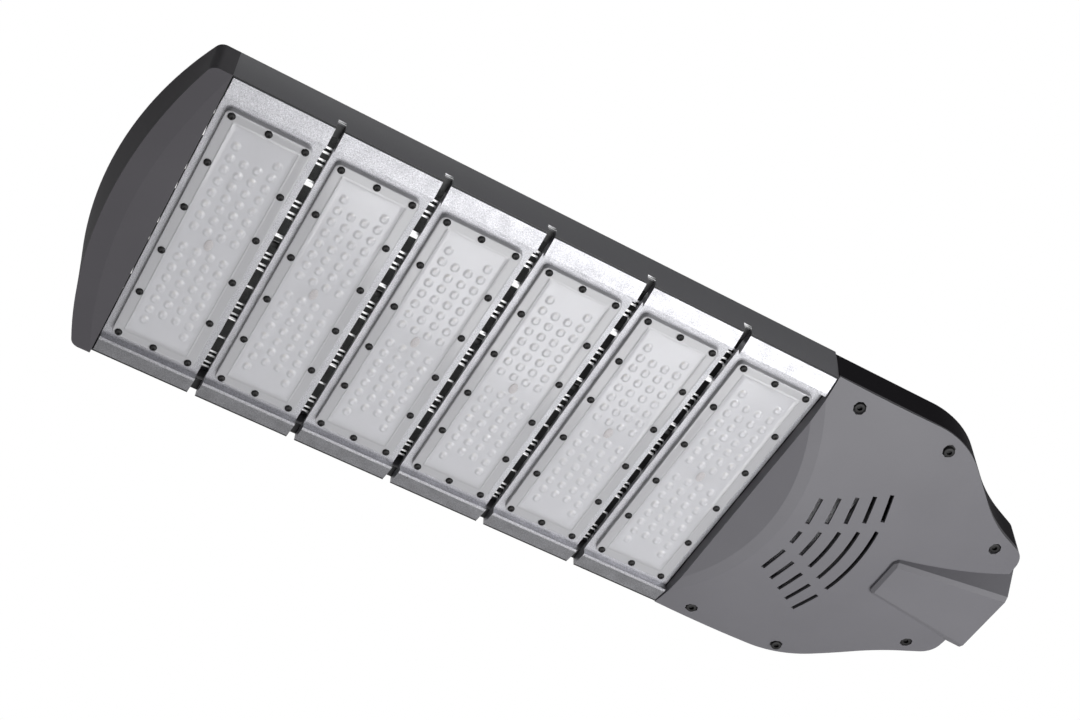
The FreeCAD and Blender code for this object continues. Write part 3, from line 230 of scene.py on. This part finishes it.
def aluminium(name, colour, roughness, speckle):
    """Bare aluminium with a fine speckle, darker more than lighter than its colour."""
    material = bpy.data.materials.new(name)
    graph = Graph(material)
    grain = graph.noise(900.0, detail=2.0, roughness=0.7)
    coarse = graph.noise(60.0, detail=3.0)
    tone = graph.span(grain, 0.32, 0.68)
    base = graph.mix(tone, shade(colour, 1 - speckle), shade(colour, 1 + speckle * 0.25))
    rough = graph.span(coarse, NOISE_LOW, NOISE_HIGH, roughness - 0.06, roughness + 0.08)
    graph.surface(Base_Color=base, Metallic=1.0, Roughness=rough,
                  Normal=graph.bump(grain, 0.35, 0.0005))
    return material


def heat_sink_finish():
    """Bare extrusion below, black finish on the fins, and bright sawn ends."""
    material = bpy.data.materials.new("sink_finish")
    graph = Graph(material)
    place = graph.split(graph.geometry("Position"))
    facing = graph.split(graph.geometry("True Normal"))
    low_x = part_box("module_1_heat_sink")[0].x + COVERED_END
    high_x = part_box("module_6_heat_sink")[1].x - COVERED_END
    base_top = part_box("module_1_heat_sink")[0].z + SINK_BASE_HEIGHT
    high = graph.math("GREATER_THAN", place["Z"], base_top)
    up = graph.math("GREATER_THAN", facing["Z"], FACING_UP)
    across = graph.math("GREATER_THAN", graph.math("ABSOLUTE", facing["X"]), FACING_ALONG)
    between = graph.math("MULTIPLY", graph.math("GREATER_THAN", place["X"], low_x),
                         graph.math("LESS_THAN", place["X"], high_x))
    sawn = graph.math("MULTIPLY", across, between)
    black = graph.math("MULTIPLY", graph.math("MAXIMUM", high, up),
                       graph.math("SUBTRACT", 1.0, sawn), clamp=True)
    grain = graph.noise(1100.0, detail=2.0, roughness=0.75)
    tone = graph.span(grain, NOISE_LOW, NOISE_HIGH)
    bare = graph.mix(tone, (0.30, 0.30, 0.32), (0.66, 0.66, 0.69))
    dark = graph.mix(tone, NEARLY_BLACK, (0.012, 0.012, 0.013))
    base = graph.mix(black, bare, dark)
    metal = graph.math("SUBTRACT", 1.0, black)
    rough = graph.span(graph.noise(70.0, detail=3.0), NOISE_LOW, NOISE_HIGH, 0.40, 0.52)
    graph.surface(Base_Color=base, Metallic=metal, Roughness=rough, Specular_IOR_Level=0.12,
                  Normal=graph.bump(grain, 0.4, 0.0005))
    return material


def plain(name, colour, roughness, metallic=0.0, grain=500.0, spread=0.08):
    """Even finish with a fine change of tone and surface."""
    material = bpy.data.materials.new(name)
    graph = Graph(material)
    fine = graph.noise(grain)
    graph.surface(Base_Color=graph.toned(colour, fine, spread), Metallic=metallic,
                  Roughness=roughness, Normal=graph.bump(fine, 0.05, 0.0003))
    return material


def clear_plastic(name):
    """Clear moulded plastic, slightly milky, with the faint waves of the mould."""
    material = bpy.data.materials.new(name)
    graph = Graph(material)
    haze = graph.noise(180.0, detail=3.0)
    rough = graph.span(haze, NOISE_LOW, NOISE_HIGH, 0.06, 0.14)
    graph.surface(Base_Color=(0.94, 0.94, 0.975), Roughness=rough, IOR=1.49,
                  Transmission_Weight=0.5, Normal=graph.bump(haze, 0.05, 0.0004))
    return material


def rail_material_with_shade(name, colour, bare):
    """Satin powder coat, bare where a slot between the modules cuts the outer wall, with shade
    painted nearly black on its downward faces and inside the slots."""
    material = bpy.data.materials.new(name)
    graph = Graph(material)
    low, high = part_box("side_rail_left")
    slot_top = low.z + RAIL_SLOT_HEIGHT
    wall_start = max(abs(low.y), abs(high.y)) - RAIL_WALL - NEAR
    middle = (low.x + high.x) / 2
    seen_reach = (high.x - low.x) / 2 - COVERED_END
    place = graph.split(graph.geometry("Position"))
    facing = graph.split(graph.geometry("True Normal"))
    under = graph.math("LESS_THAN", facing["Z"], -FACING_ALONG)
    near_slot_top = graph.math("COMPARE", place["Z"], slot_top, CUT_BAND)
    across = graph.math("GREATER_THAN", graph.math("ABSOLUTE", facing["X"]), FACING_ALONG)
    from_middle = graph.math("ABSOLUTE", graph.math("SUBTRACT", place["X"], middle))
    inside = graph.math("LESS_THAN", from_middle, seen_reach)
    cut = graph.math("MAXIMUM", graph.math("MULTIPLY", under, near_slot_top),
                     graph.math("MULTIPLY", across, inside))
    wall = graph.math("GREATER_THAN", graph.math("ABSOLUTE", place["Y"]), wall_start)
    # Downward faces below the slots' tops, seen only through the slots, are painted nearly black
    # as shade
    below_slot_top = graph.math("LESS_THAN", place["Z"], slot_top - UNDERSIDE_DEPTH)
    painted_shade_below = graph.math("MULTIPLY", under, below_slot_top)
    grain = graph.noise(1400.0, detail=3.0)
    paint = graph.toned(colour, grain, COAT_SPREAD)
    # Cut faces away from the outer wall are painted nearly black as the shade inside the slots
    bare_cut_or_painted_shade = graph.mix(wall, NEARLY_BLACK, bare)
    base = graph.mix(painted_shade_below, graph.mix(cut, paint, bare_cut_or_painted_shade), NEARLY_BLACK)
    metal = graph.math("MULTIPLY", cut, wall)
    rough = graph.span(grain, 0.2, 0.8, 0.34, 0.42)
    graph.surface(Base_Color=base, Metallic=metal, Roughness=rough, Specular_IOR_Level=0.5,
                  Normal=graph.bump(grain, 0.08, 0.0005))
    return material


sink_material = heat_sink_finish()
clear = clear_plastic("clear_polycarbonate")
cover_paint = powder_coat("cover_paint", (0.168, 0.165, 0.18), 0.5, 0.4)
housing_paint = powder_coat("housing_paint", (0.014, 0.012, 0.016), 0.5, 0.12, grain=0.5 * MM)
cap_paint = powder_coat("cap_paint", (0.092, 0.088, 0.097), 0.55, 0.12)
rail_paint = rail_material_with_shade("rail_paint", (0.25, 0.25, 0.268), (0.85, 0.85, 0.86))
black_screw = plain("black_screw", (0.006, 0.0055, 0.006), 0.55, grain=900.0)
zinc = plain("zinc", (0.62, 0.62, 0.64), 0.3, metallic=1.0)
board_white = plain("board_white", (0.82, 0.82, 0.82), 0.5, grain=300.0, spread=0.02)
rubber = plain("rubber", (0.03, 0.03, 0.03), 0.7)
silicone = plain("pale_silicone", (0.62, 0.62, 0.63), 0.6)
bare_edge = aluminium("bare_edge", (0.86, 0.86, 0.87), 0.34, 0.15)
phosphor = plain("phosphor", (0.85, 0.74, 0.42), 0.5, grain=900.0, spread=0.05)
led_white = plain("led_white", (0.85, 0.85, 0.83), 0.35, grain=900.0, spread=0.02)
gate_grey = plain("gate_mark", (0.52, 0.50, 0.51), 0.45, grain=700.0)
dark_nylon = plain("dark_nylon", (0.03, 0.03, 0.032), 0.5)
pale_nylon = plain("pale_nylon", (0.55, 0.54, 0.50), 0.5)
galvanised = plain("galvanised", (0.55, 0.56, 0.58), 0.38, metallic=1.0, grain=60.0, spread=0.2)
driver_shell = aluminium("driver_shell", (0.5, 0.5, 0.52), 0.45, 0.2)

for module in MODULES:
    give("module_%d_heat_sink" % module, sink_material)
    give("module_%d_led_board" % module, board_white)
    give("module_%d_lens_seal" % module, silicone)
    give("module_%d_lens_plate" % module, clear)
    give("module_%d_lens_screws" % module, black_screw)
give("side_rail_left", rail_paint)
give("side_rail_right", rail_paint)
give("front_cap", cap_paint)
give("gear_housing", housing_paint)
give("rear_cover", cover_paint)
give("cover_screws", black_screw)
for node in ("module_bolts", "front_cap_screws", "housing_tongue_screws", "pole_clamp_bolts",
             "tray_screws", "driver_screws"):
    give(node, zinc)
give("gear_tray", galvanised)
give("led_driver", driver_shell)
give("surge_arrester", dark_nylon)
give("terminal_block", pale_nylon)
give("cable_gland", dark_nylon)
give("led_lead", rubber)
give("lead_grommet", rubber)
give("wire_outlets", dark_nylon)


# Pieces

def new_piece(name, bm, materials, replaced=None, smooth_angle=30.0):
    """Turns a bmesh into a piece that rides on the head's one body."""
    bmesh.ops.recalc_face_normals(bm, faces=bm.faces)
    mesh = bpy.data.meshes.new(name)
    bm.to_mesh(mesh)
    bm.free()
    for material in materials:
        mesh.materials.append(material)
    mesh.shade_smooth()
    mesh.set_sharp_from_angle(angle=math.radians(smooth_angle))
    piece = bpy.data.objects.new(name, mesh)
    bpy.context.scene.collection.objects.link(piece)
    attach(piece, "root")
    if replaced:
        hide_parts(replaced)


def centre_of(node):
    """Centre (x, y) of a node's box."""
    low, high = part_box(node)
    return (low.x + high.x) / 2, (low.y + high.y) / 2


# Lens plate, in millimetres from its own centre
PLATE_HALF_X = 38.1
PLATE_HALF_Y = 124.3
PLATE_THICKNESS = 5.5
PLATE_CORNER = 5.0
PLATE_EDGE = 0.8
PAN_INSET = 9.3
PAN_RISE = 0.3
RIDGE_HALF_WIDTH = 0.8
RIDGE_RISE = 0.35
SEAL_STEP_DEPTH = 1.5
CAVITY_DEPTH = 3.7
SEAL_STEP_HALF = (28.85, 114.85)
CAVITY_HALF = (26.3, 112.3)
LED_PITCH = 12.2
LED_COLUMNS = (-18.3, -6.1, 6.1, 18.3)
LED_FIRST_ROW = 11.3
# Rows on each side of the plate's middle
OUTER_COLUMN_ROWS = 8
INNER_COLUMN_ROWS = 7
DOME_HALF_X = 3.5
DOME_HALF_Y = 4.1
DOME_RISE = 1.25
DIMPLE = 0.45
DIMPLE_SPREAD = 0.12
# Grid steps of the plate's face: over one LED pitch, and from its middle to the first pitch
STEPS_PER_LED = 14
MIDDLE_STEPS = 6
# Grid lines on the edge's rounding, and further in, as insets from the plate's side
EDGE_INSETS = (0, 0.12, 0.35)
FLAT_INSETS = (2.0, 3.5)
# Grid lines between the last row of LEDs and the ridge, counted from that row's far side
PAN_END_LINES = (3, 7)


def led_places():
    """Sixty LEDs: two outer columns of sixteen and two inner ones of fourteen."""
    for x in LED_COLUMNS:
        rows = OUTER_COLUMN_ROWS if abs(x) > LED_PITCH else INNER_COLUMN_ROWS
        for row in range(rows):
            for side in (-1, 1):
                yield x, side * (LED_FIRST_ROW + row * LED_PITCH)


def mirrored(values):
    return sorted({side * value for value in values for side in (-1, 1)})


def steps(start, end, count):
    return [start + (end - start) * step / count for step in range(count + 1)]


def edge_lines(half_size):
    """Grid lines that follow the plate's rounded edge, its ridge and its corners."""
    ridge = [PAN_INSET + RIDGE_HALF_WIDTH * place for place in (-2, -1, 0, 1)]
    insets = (*EDGE_INSETS, PLATE_EDGE, *FLAT_INSETS, PLATE_CORNER, *ridge)
    return [half_size - inset for inset in insets]


def dome(x, y):
    """Rise of a moulded lens over one LED, low in the middle so that it shows as a ring."""
    away = (x / DOME_HALF_X) ** 2 + (y / DOME_HALF_Y) ** 2
    if away >= 1:
        return 0.0
    return DOME_RISE * math.sqrt(1 - away) - DIMPLE * math.exp(-away / DIMPLE_SPREAD)


def plate_rise(x, y, inset, leds):
    """How far the plate's face stands below its flat level, in millimetres."""
    rise = 0.0
    if inset < PLATE_EDGE:
        rise -= PLATE_EDGE - math.sqrt(PLATE_EDGE ** 2 - (PLATE_EDGE - inset) ** 2)
    if inset >= PAN_INSET:
        rise += PAN_RISE
    rise += RIDGE_RISE * max(0.0, 1 - abs(inset - PAN_INSET) / RIDGE_HALF_WIDTH)
    column = LED_PITCH * round((abs(x) - LED_PITCH / 2) / LED_PITCH) + LED_PITCH / 2
    row = LED_PITCH * round((abs(y) - LED_FIRST_ROW) / LED_PITCH) + LED_FIRST_ROW
    if (round(column, 1), round(row, 1)) in leds:
        rise += dome(abs(x) - column, abs(y) - row)
    return rise


def rounded_corner(x, y):
    """Moves a grid point so that the grid's square corner becomes a round one."""
    over_x = abs(x) - (PLATE_HALF_X - PLATE_CORNER)
    over_y = abs(y) - (PLATE_HALF_Y - PLATE_CORNER)
    if over_x <= 0 or over_y <= 0:
        return x, y
    pull = max(over_x, over_y) / math.hypot(over_x, over_y)
    return (math.copysign(PLATE_HALF_X - PLATE_CORNER + over_x * pull, x),
            math.copysign(PLATE_HALF_Y - PLATE_CORNER + over_y * pull, y))


def rectangle_loop(bm, half_size, z):
    """Corners and edges of a rectangle about the origin."""
    corners = ((-1, -1), (1, -1), (1, 1), (-1, 1))
    verts = [bm.verts.new((half_size[0] * x, half_size[1] * y, z)) for x, y in corners]
    return verts, [bm.edges.new((verts[place - 1], verts[place])) for place in range(4)]


def walls(bm, upper, lower):
    """Faces between two loops with the same number of corners."""
    for place in range(len(upper)):
        bm.faces.new((upper[place - 1], upper[place], lower[place], lower[place - 1]))


def make_plate_mesh():
    """Lens plate in millimetres, its outer face at z = 0 and its back at the plate's thickness."""
    leds = {(round(abs(x), 1), round(abs(y), 1)) for x, y in led_places()}
    reach_x = 2 * LED_PITCH
    first_y = LED_FIRST_ROW - LED_PITCH / 2
    last_y = first_y + OUTER_COLUMN_ROWS * LED_PITCH
    xs = mirrored(steps(0, reach_x, 2 * STEPS_PER_LED) + edge_lines(PLATE_HALF_X))
    ys = mirrored(steps(0, first_y, MIDDLE_STEPS)
                  + steps(first_y, last_y, OUTER_COLUMN_ROWS * STEPS_PER_LED)
                  + [last_y + line for line in PAN_END_LINES] + edge_lines(PLATE_HALF_Y))
    bm = bmesh.new()
    grid = []
    for y in ys:
        line = []
        for x in xs:
            inset = min(PLATE_HALF_X - abs(x), PLATE_HALF_Y - abs(y))
            place = rounded_corner(x, y)
            line.append(bm.verts.new((*place, -plate_rise(x, y, inset, leds))))
        grid.append(line)
    for row in range(len(ys) - 1):
        for column in range(len(xs) - 1):
            bm.faces.new((grid[row][column], grid[row][column + 1], grid[row + 1][column + 1],
                          grid[row + 1][column]))
    rim = (grid[0] + [line[-1] for line in grid[1:]] + grid[-1][-2::-1]
           + [line[0] for line in grid[-2:0:-1]])
    back = [bm.verts.new((vert.co.x, vert.co.y, PLATE_THICKNESS)) for vert in rim]
    walls(bm, rim, back)
    outline = [bm.edges.get((back[place - 1], back[place])) for place in range(len(back))]
    step, step_edges = rectangle_loop(bm, SEAL_STEP_HALF, PLATE_THICKNESS)
    bmesh.ops.triangle_fill(bm, edges=outline + step_edges, use_beauty=True)
    ledge, ledge_edges = rectangle_loop(bm, SEAL_STEP_HALF, PLATE_THICKNESS - SEAL_STEP_DEPTH)
    walls(bm, step, ledge)
    cavity, cavity_edges = rectangle_loop(bm, CAVITY_HALF, PLATE_THICKNESS - SEAL_STEP_DEPTH)
    bmesh.ops.triangle_fill(bm, edges=ledge_edges + cavity_edges, use_beauty=True)
    ceiling, _ = rectangle_loop(bm, CAVITY_HALF, PLATE_THICKNESS - CAVITY_DEPTH)
    walls(bm, cavity, ceiling)
    bm.faces.new(ceiling)
    mesh = bpy.data.meshes.new("lens_plate")
    bmesh.ops.recalc_face_normals(bm, faces=bm.faces)
    bm.to_mesh(mesh)
    bm.free()
    return mesh


def placed(mesh, x, y, z):
    """New bmesh of a mesh in millimetres, moved to a place in metres."""
    bm = bmesh.new()
    bm.from_mesh(mesh)
    move = Matrix.Translation((x, y, z)) @ Matrix.Scale(MM, 4)
    bmesh.ops.transform(bm, matrix=move, verts=bm.verts)
    return bm


def lathe(bm, profile, turns, x, y, z, material=0, stretch=1.0):
    """Closed round form below z: profile is a list of (radius, depth) in millimetres. stretch
    makes it longer along Y."""
    rings = []
    for radius, depth in profile:
        if radius == 0:
            rings.append([bm.verts.new((x, y, z - depth * MM))])
            continue
        rings.append([bm.verts.new((x + radius * MM * math.cos(math.tau * turn / turns),
                                    y + radius * MM * stretch * math.sin(math.tau * turn / turns),
                                    z - depth * MM)) for turn in range(turns)])
    for upper, lower in zip(rings, rings[1:]):
        for turn in range(turns):
            corners = [upper[(turn - 1) % len(upper)], upper[turn % len(upper)],
                       lower[turn % len(lower)], lower[(turn - 1) % len(lower)]]
            face = bm.faces.new(list(dict.fromkeys(corners)))
            face.material_index = material


def frustum(bm, x, y, z, half_x, half_y, depth, draft, material):
    """Low block below z with drafted sides, in millimetres about a place in metres."""
    loops = []
    for level, inset in ((0, 0), (depth, draft)):
        loops.append([bm.verts.new((x + (half_x - inset) * MM * side_x,
                                    y + (half_y - inset) * MM * side_y, z - level * MM))
                      for side_x, side_y in ((-1, -1), (1, -1), (1, 1), (-1, 1))])
    faces = [bm.faces.new(loops[0]), bm.faces.new(loops[1])]
    for corner in range(4):
        faces.append(bm.faces.new((loops[0][corner - 1], loops[0][corner], loops[1][corner],
                                   loops[1][corner - 1])))
    for face in faces:
        face.material_index = material


# Screw heads as (radius, depth) from the seat outwards, each with its socket drawn round
LENS_SCREW = ((0, 0), (3.3, 0), (3.3, 0.7), (3.05, 1.3), (2.5, 1.75), (1.75, 1.98), (1.45, 2.0),
              (1.3, 1.85), (1.25, 0.9), (0, 0.7))
COVER_SCREW_HEAD = 5.0
COVER_SCREW = ((0, 0), (5.9, 0), (5.9, 0.9), (5.0, 1.1), (5.0, 4.3), (4.7, 4.8),
               (4.2, COVER_SCREW_HEAD), (2.5, COVER_SCREW_HEAD), (2.3, 4.8), (2.3, 2.2), (0, 1.6))
COVER_SCREW_TURNS = 28
# More than the width of a cover screw's head, and less than the way to the next screw
COVER_SCREW_REACH = 12 * MM
# Mark that the mould's gate leaves in the middle of a plate
GATE_MARK = ((0, 0.1), (3.6, 0.1), (3.4, 0.6), (2.6, 0.78), (0, 0.84))
GATE_STRETCH = 1.7
SMALL_TURNS = 24
# Screws of a plate: two columns of six, and one more in the middle of each end
SCREW_COLUMN = 32.25
SCREW_ROWS = 6
SCREW_ROW_PITCH = 48.0
# LED package as (half x, half y, depth, draft)
LED_BODY = (1.9, 1.7, 0.6, 0.15)
LED_FACE = (1.35, 1.2, 0.15, 0.1)


def make_lens_screws(module):
    """Round screw heads of one plate, for the six-sided ones."""
    node = "module_%d_lens_screws" % module
    x, y = centre_of(node)
    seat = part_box(node)[1].z
    last_row = (SCREW_ROWS - 1) / 2
    spots = [(side * SCREW_COLUMN, (row - last_row) * SCREW_ROW_PITCH) for side in (-1, 1)
             for row in range(SCREW_ROWS)]
    spots += [(0, side * last_row * SCREW_ROW_PITCH) for side in (-1, 1)]
    bm = bmesh.new()
    for along, across in spots:
        lathe(bm, LENS_SCREW, SMALL_TURNS, x + along * MM, y + across * MM, seat)
    new_piece("module_%d_round_screws" % module, bm, [black_screw], node)


def make_leds(module):
    """LED packages on the board: a white body with a yellow phosphor face."""
    node = "module_%d_led_board" % module
    x, y = centre_of(node)
    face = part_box(node)[0].z
    bm = bmesh.new()
    for along, across in led_places():
        led_x, led_y = x + along * MM, y + across * MM
        frustum(bm, led_x, led_y, face, *LED_BODY, 0)
        frustum(bm, led_x, led_y, face - LED_BODY[2] * MM, *LED_FACE, 1)
    new_piece("module_%d_leds" % module, bm, [led_white, phosphor])


def make_lens_plate(module, mesh):
    """Moulded plate with its domes, for the plain one."""
    node = "module_%d_lens_plate" % module
    x, y = centre_of(node)
    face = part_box(node)[0].z
    bm = placed(mesh, x, y, face)
    lathe(bm, GATE_MARK, SMALL_TURNS, x, y, face, 1, GATE_STRETCH)
    new_piece("module_%d_moulded_plate" % module, bm, [clear, gate_grey], node,
              smooth_angle=40.0)


plate_mesh = make_plate_mesh()
for module in MODULES:
    make_lens_plate(module, plate_mesh)
    make_leds(module)
    make_lens_screws(module)
bpy.data.meshes.remove(plate_mesh)


# Fins, in millimetres across the head: five bundles of four, and four single fins
FIN_THICKNESS = 2.0
FIN_BUNDLE_PITCH = 58.3
BUNDLE_OFFSETS = (-8.7, -3.8, 3.8, 8.7)
SINGLE_FIN_PITCH = 60.0
FIN_PLACES = [FIN_BUNDLE_PITCH * bundle + offset for bundle in (-2, -1, 0, 1, 2)
              for offset in BUNDLE_OFFSETS]
FIN_PLACES += [SINGLE_FIN_PITCH * place for place in (-1.5, -0.5, 0.5, 1.5)]


def module_gaps():
    """Start and end along X of each gap between the modules."""
    for module in MODULES[:-1]:
        yield (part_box("module_%d_heat_sink" % module)[1].x,
               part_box("module_%d_heat_sink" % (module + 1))[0].x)


def make_fin_bridges():
    """Fins over the slots between the modules, bare where the slot cuts their lower edge."""
    low_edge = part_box("side_rail_left")[0].z + RAIL_SLOT_HEIGHT
    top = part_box("module_1_heat_sink")[1].z
    bm = bmesh.new()
    for start, end in module_gaps():
        for place in FIN_PLACES:
            low_y = (place - FIN_THICKNESS / 2) * MM
            high_y = low_y + FIN_THICKNESS * MM
            lower, upper = [[bm.verts.new((x, y, z)) for x, y in (
                (start, low_y), (end, low_y), (end, high_y), (start, high_y))]
                            for z in (low_edge, top)]
            bm.faces.new(lower).material_index = 1
            bm.faces.new(upper)
            walls(bm, lower, upper)
    new_piece("fin_bridges", bm, [sink_material, bare_edge])


def rail_section(node):
    """Corners (y, z) of a rail's section in order, from the face at its -X end."""
    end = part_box(node)[0].x
    bm = bmesh.new()
    bm.from_mesh(nodes[node].data)
    bmesh.ops.remove_doubles(bm, verts=bm.verts, dist=MERGE)
    cap = {face for face in bm.faces
           if all(abs(vert.co.x - end) < SAME for vert in face.verts)}
    edges = [edge for edge in bm.edges if sum(face in cap for face in edge.link_faces) == 1]
    vert = edges[0].verts[0]
    corners = []
    while edges:
        edge = next(edge for edge in edges if vert in edge.verts)
        edges.remove(edge)
        corners.append((vert.co.y, vert.co.z))
        vert = edge.other_vert(vert)
    bm.free()
    return corners


def with_level(corners, level):
    """The same section with a corner wherever its outline crosses a level."""
    split = []
    for place, (y, z) in enumerate(corners):
        next_y, next_z = corners[(place + 1) % len(corners)]
        split.append((y, z))
        if (z - level) * (next_z - level) < 0:
            share = (level - z) / (next_z - z)
            split.append((y + (next_y - y) * share, level))
    return split


def make_notched_rail(node):
    """Side rail with a notch in its outer wall at each gap between the modules. The shelf that
    carries the modules runs on behind the notches."""
    low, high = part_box(node)
    level = low.z + RAIL_SLOT_HEIGHT
    inner_side = max(abs(low.y), abs(high.y)) - RAIL_WALL
    section = with_level(rail_section(node), level)
    above = [(y, z) for y, z in section if z >= level]
    shelf = [(y, z) for y, z in section
             if low.z + MM < z < level - NEAR and abs(y) < inner_side + NEAR]
    shelf_edge = min(abs(y) for y, z in shelf)
    wall = [(y, z) for y, z in section if z <= level and abs(y) > shelf_edge + MM]
    ends = [low.x, *(x for gap in module_gaps() for x in gap), high.x]
    bm = bmesh.new()

    def face(corners):
        bm.faces.new([bm.verts.new(corner) for corner in corners])

    for stretch, (start, end) in enumerate(zip(ends, ends[1:])):
        in_gap = stretch % 2 == 1
        for loop in (above, shelf) if in_gap else (section,):
            for place in range(len(loop)):
                first, second = loop[place - 1], loop[place]
                face([(start, *first), (end, *first), (end, *second), (start, *second)])
    for x in ends[1:-1]:
        face([(x, *corner) for corner in wall])
    for x in (low.x, high.x):
        face([(x, *corner) for corner in section])
    bmesh.ops.remove_doubles(bm, verts=bm.verts, dist=MERGE)
    new_piece(node + "_notched", bm, [rail_paint], node)


def make_cover_screws():
    """Six cap screws, seen deep in the cover's counterbores. Each stands on the middle of the
    corners that one of the plain heads has at its low end."""
    head_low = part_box("cover_screws")[0].z
    spots = [vert.co.to_2d() for vert in nodes["cover_screws"].data.vertices
             if abs(vert.co.z - head_low) < SAME]
    groups = []
    for spot in spots:
        for group in groups:
            if (group[0] - spot).length < COVER_SCREW_REACH:
                group.append(spot)
                break
        else:
            groups.append([spot])
    seat = head_low + COVER_SCREW_HEAD * MM
    bm = bmesh.new()
    for group in groups:
        middle = sum(group, Vector((0, 0))) / len(group)
        lathe(bm, COVER_SCREW, COVER_SCREW_TURNS, middle.x, middle.y, seat)
    new_piece("cover_cap_screws", bm, [black_screw], "cover_screws")


make_fin_bridges()
make_notched_rail("side_rail_left")
make_notched_rail("side_rail_right")
make_cover_screws()


# Light, world and floor

# Even light of the surroundings, except in reflections
FILL = 0.15
# Bounce board: what the shiny surfaces see towards -Y and towards +Y, and the part of a
# direction along Y over which the one goes over to the other
BOARD_DARK = 0.12
BOARD_BRIGHT = 0.5
BOARD_START = -0.05
BOARD_END = 0.45
# Middle of the head, where all lamps point
CENTRE = Vector((-0.45, 0.0, 0.0))
FLOOR_LEVEL = -2.4
FLOOR_REACH = 12.0


def make_world():
    """White behind the part, a low even fill, and a bounce board on the +Y side."""
    world = bpy.data.worlds.new("studio")
    bpy.context.scene.world = world
    graph = Graph(world)
    ray = graph.tree.nodes.new("ShaderNodeLightPath").outputs
    direction = graph.tree.nodes.new("ShaderNodeTexCoord").outputs["Generated"]
    board = graph.span(graph.split(direction)["Y"], BOARD_START, BOARD_END,
                       BOARD_DARK, BOARD_BRIGHT)
    light = graph.blend(ray["Is Glossy Ray"], graph.background(FILL), graph.background(board))
    seen = graph.math("MAXIMUM", ray["Is Camera Ray"], ray["Is Transmission Ray"])
    out = graph.tree.nodes.new("ShaderNodeOutputWorld")
    graph.link(graph.blend(seen, light, graph.background(1.0)), out.inputs["Surface"])


def make_lamp(name, place, size, power):
    """Round lamp that points at the centre; its size is in metres and its power in watts."""
    data = bpy.data.lights.new(name, "AREA")
    data.shape = "DISK"
    data.size = size
    data.energy = power
    lamp = bpy.data.objects.new(name, data)
    turn = (CENTRE - Vector(place)).to_track_quat("-Z", "Y").to_matrix().to_4x4()
    lamp.matrix_world = Matrix.Translation(place) @ turn
    bpy.context.scene.collection.objects.link(lamp)


def make_floor():
    """Pale floor far below, which the photo's view doesn't show."""
    mesh = bpy.data.meshes.new("floor")
    corners = [(x * FLOOR_REACH, y * FLOOR_REACH, FLOOR_LEVEL)
               for x, y in ((-1, -1), (1, -1), (1, 1), (-1, 1))]
    mesh.from_pydata(corners, [], [(0, 1, 2, 3)])
    floor = bpy.data.objects.new("floor", mesh)
    bpy.context.scene.collection.objects.link(floor)
    material = bpy.data.materials.new("floor")
    graph = Graph(material)
    graph.surface(Base_Color=(0.8, 0.8, 0.8), Roughness=0.8)
    mesh.materials.append(material)


make_world()
make_lamp("key", (0.6, -0.7, -1.9), size=1.0, power=25)
make_lamp("softbox", (0.0, 0.5, -2.0), size=1.4, power=18.5)
make_lamp("top", (-0.5, 0.3, 2.2), size=1.8, power=45)
make_floor()

bpy.context.scene.view_settings.view_transform = "Standard"
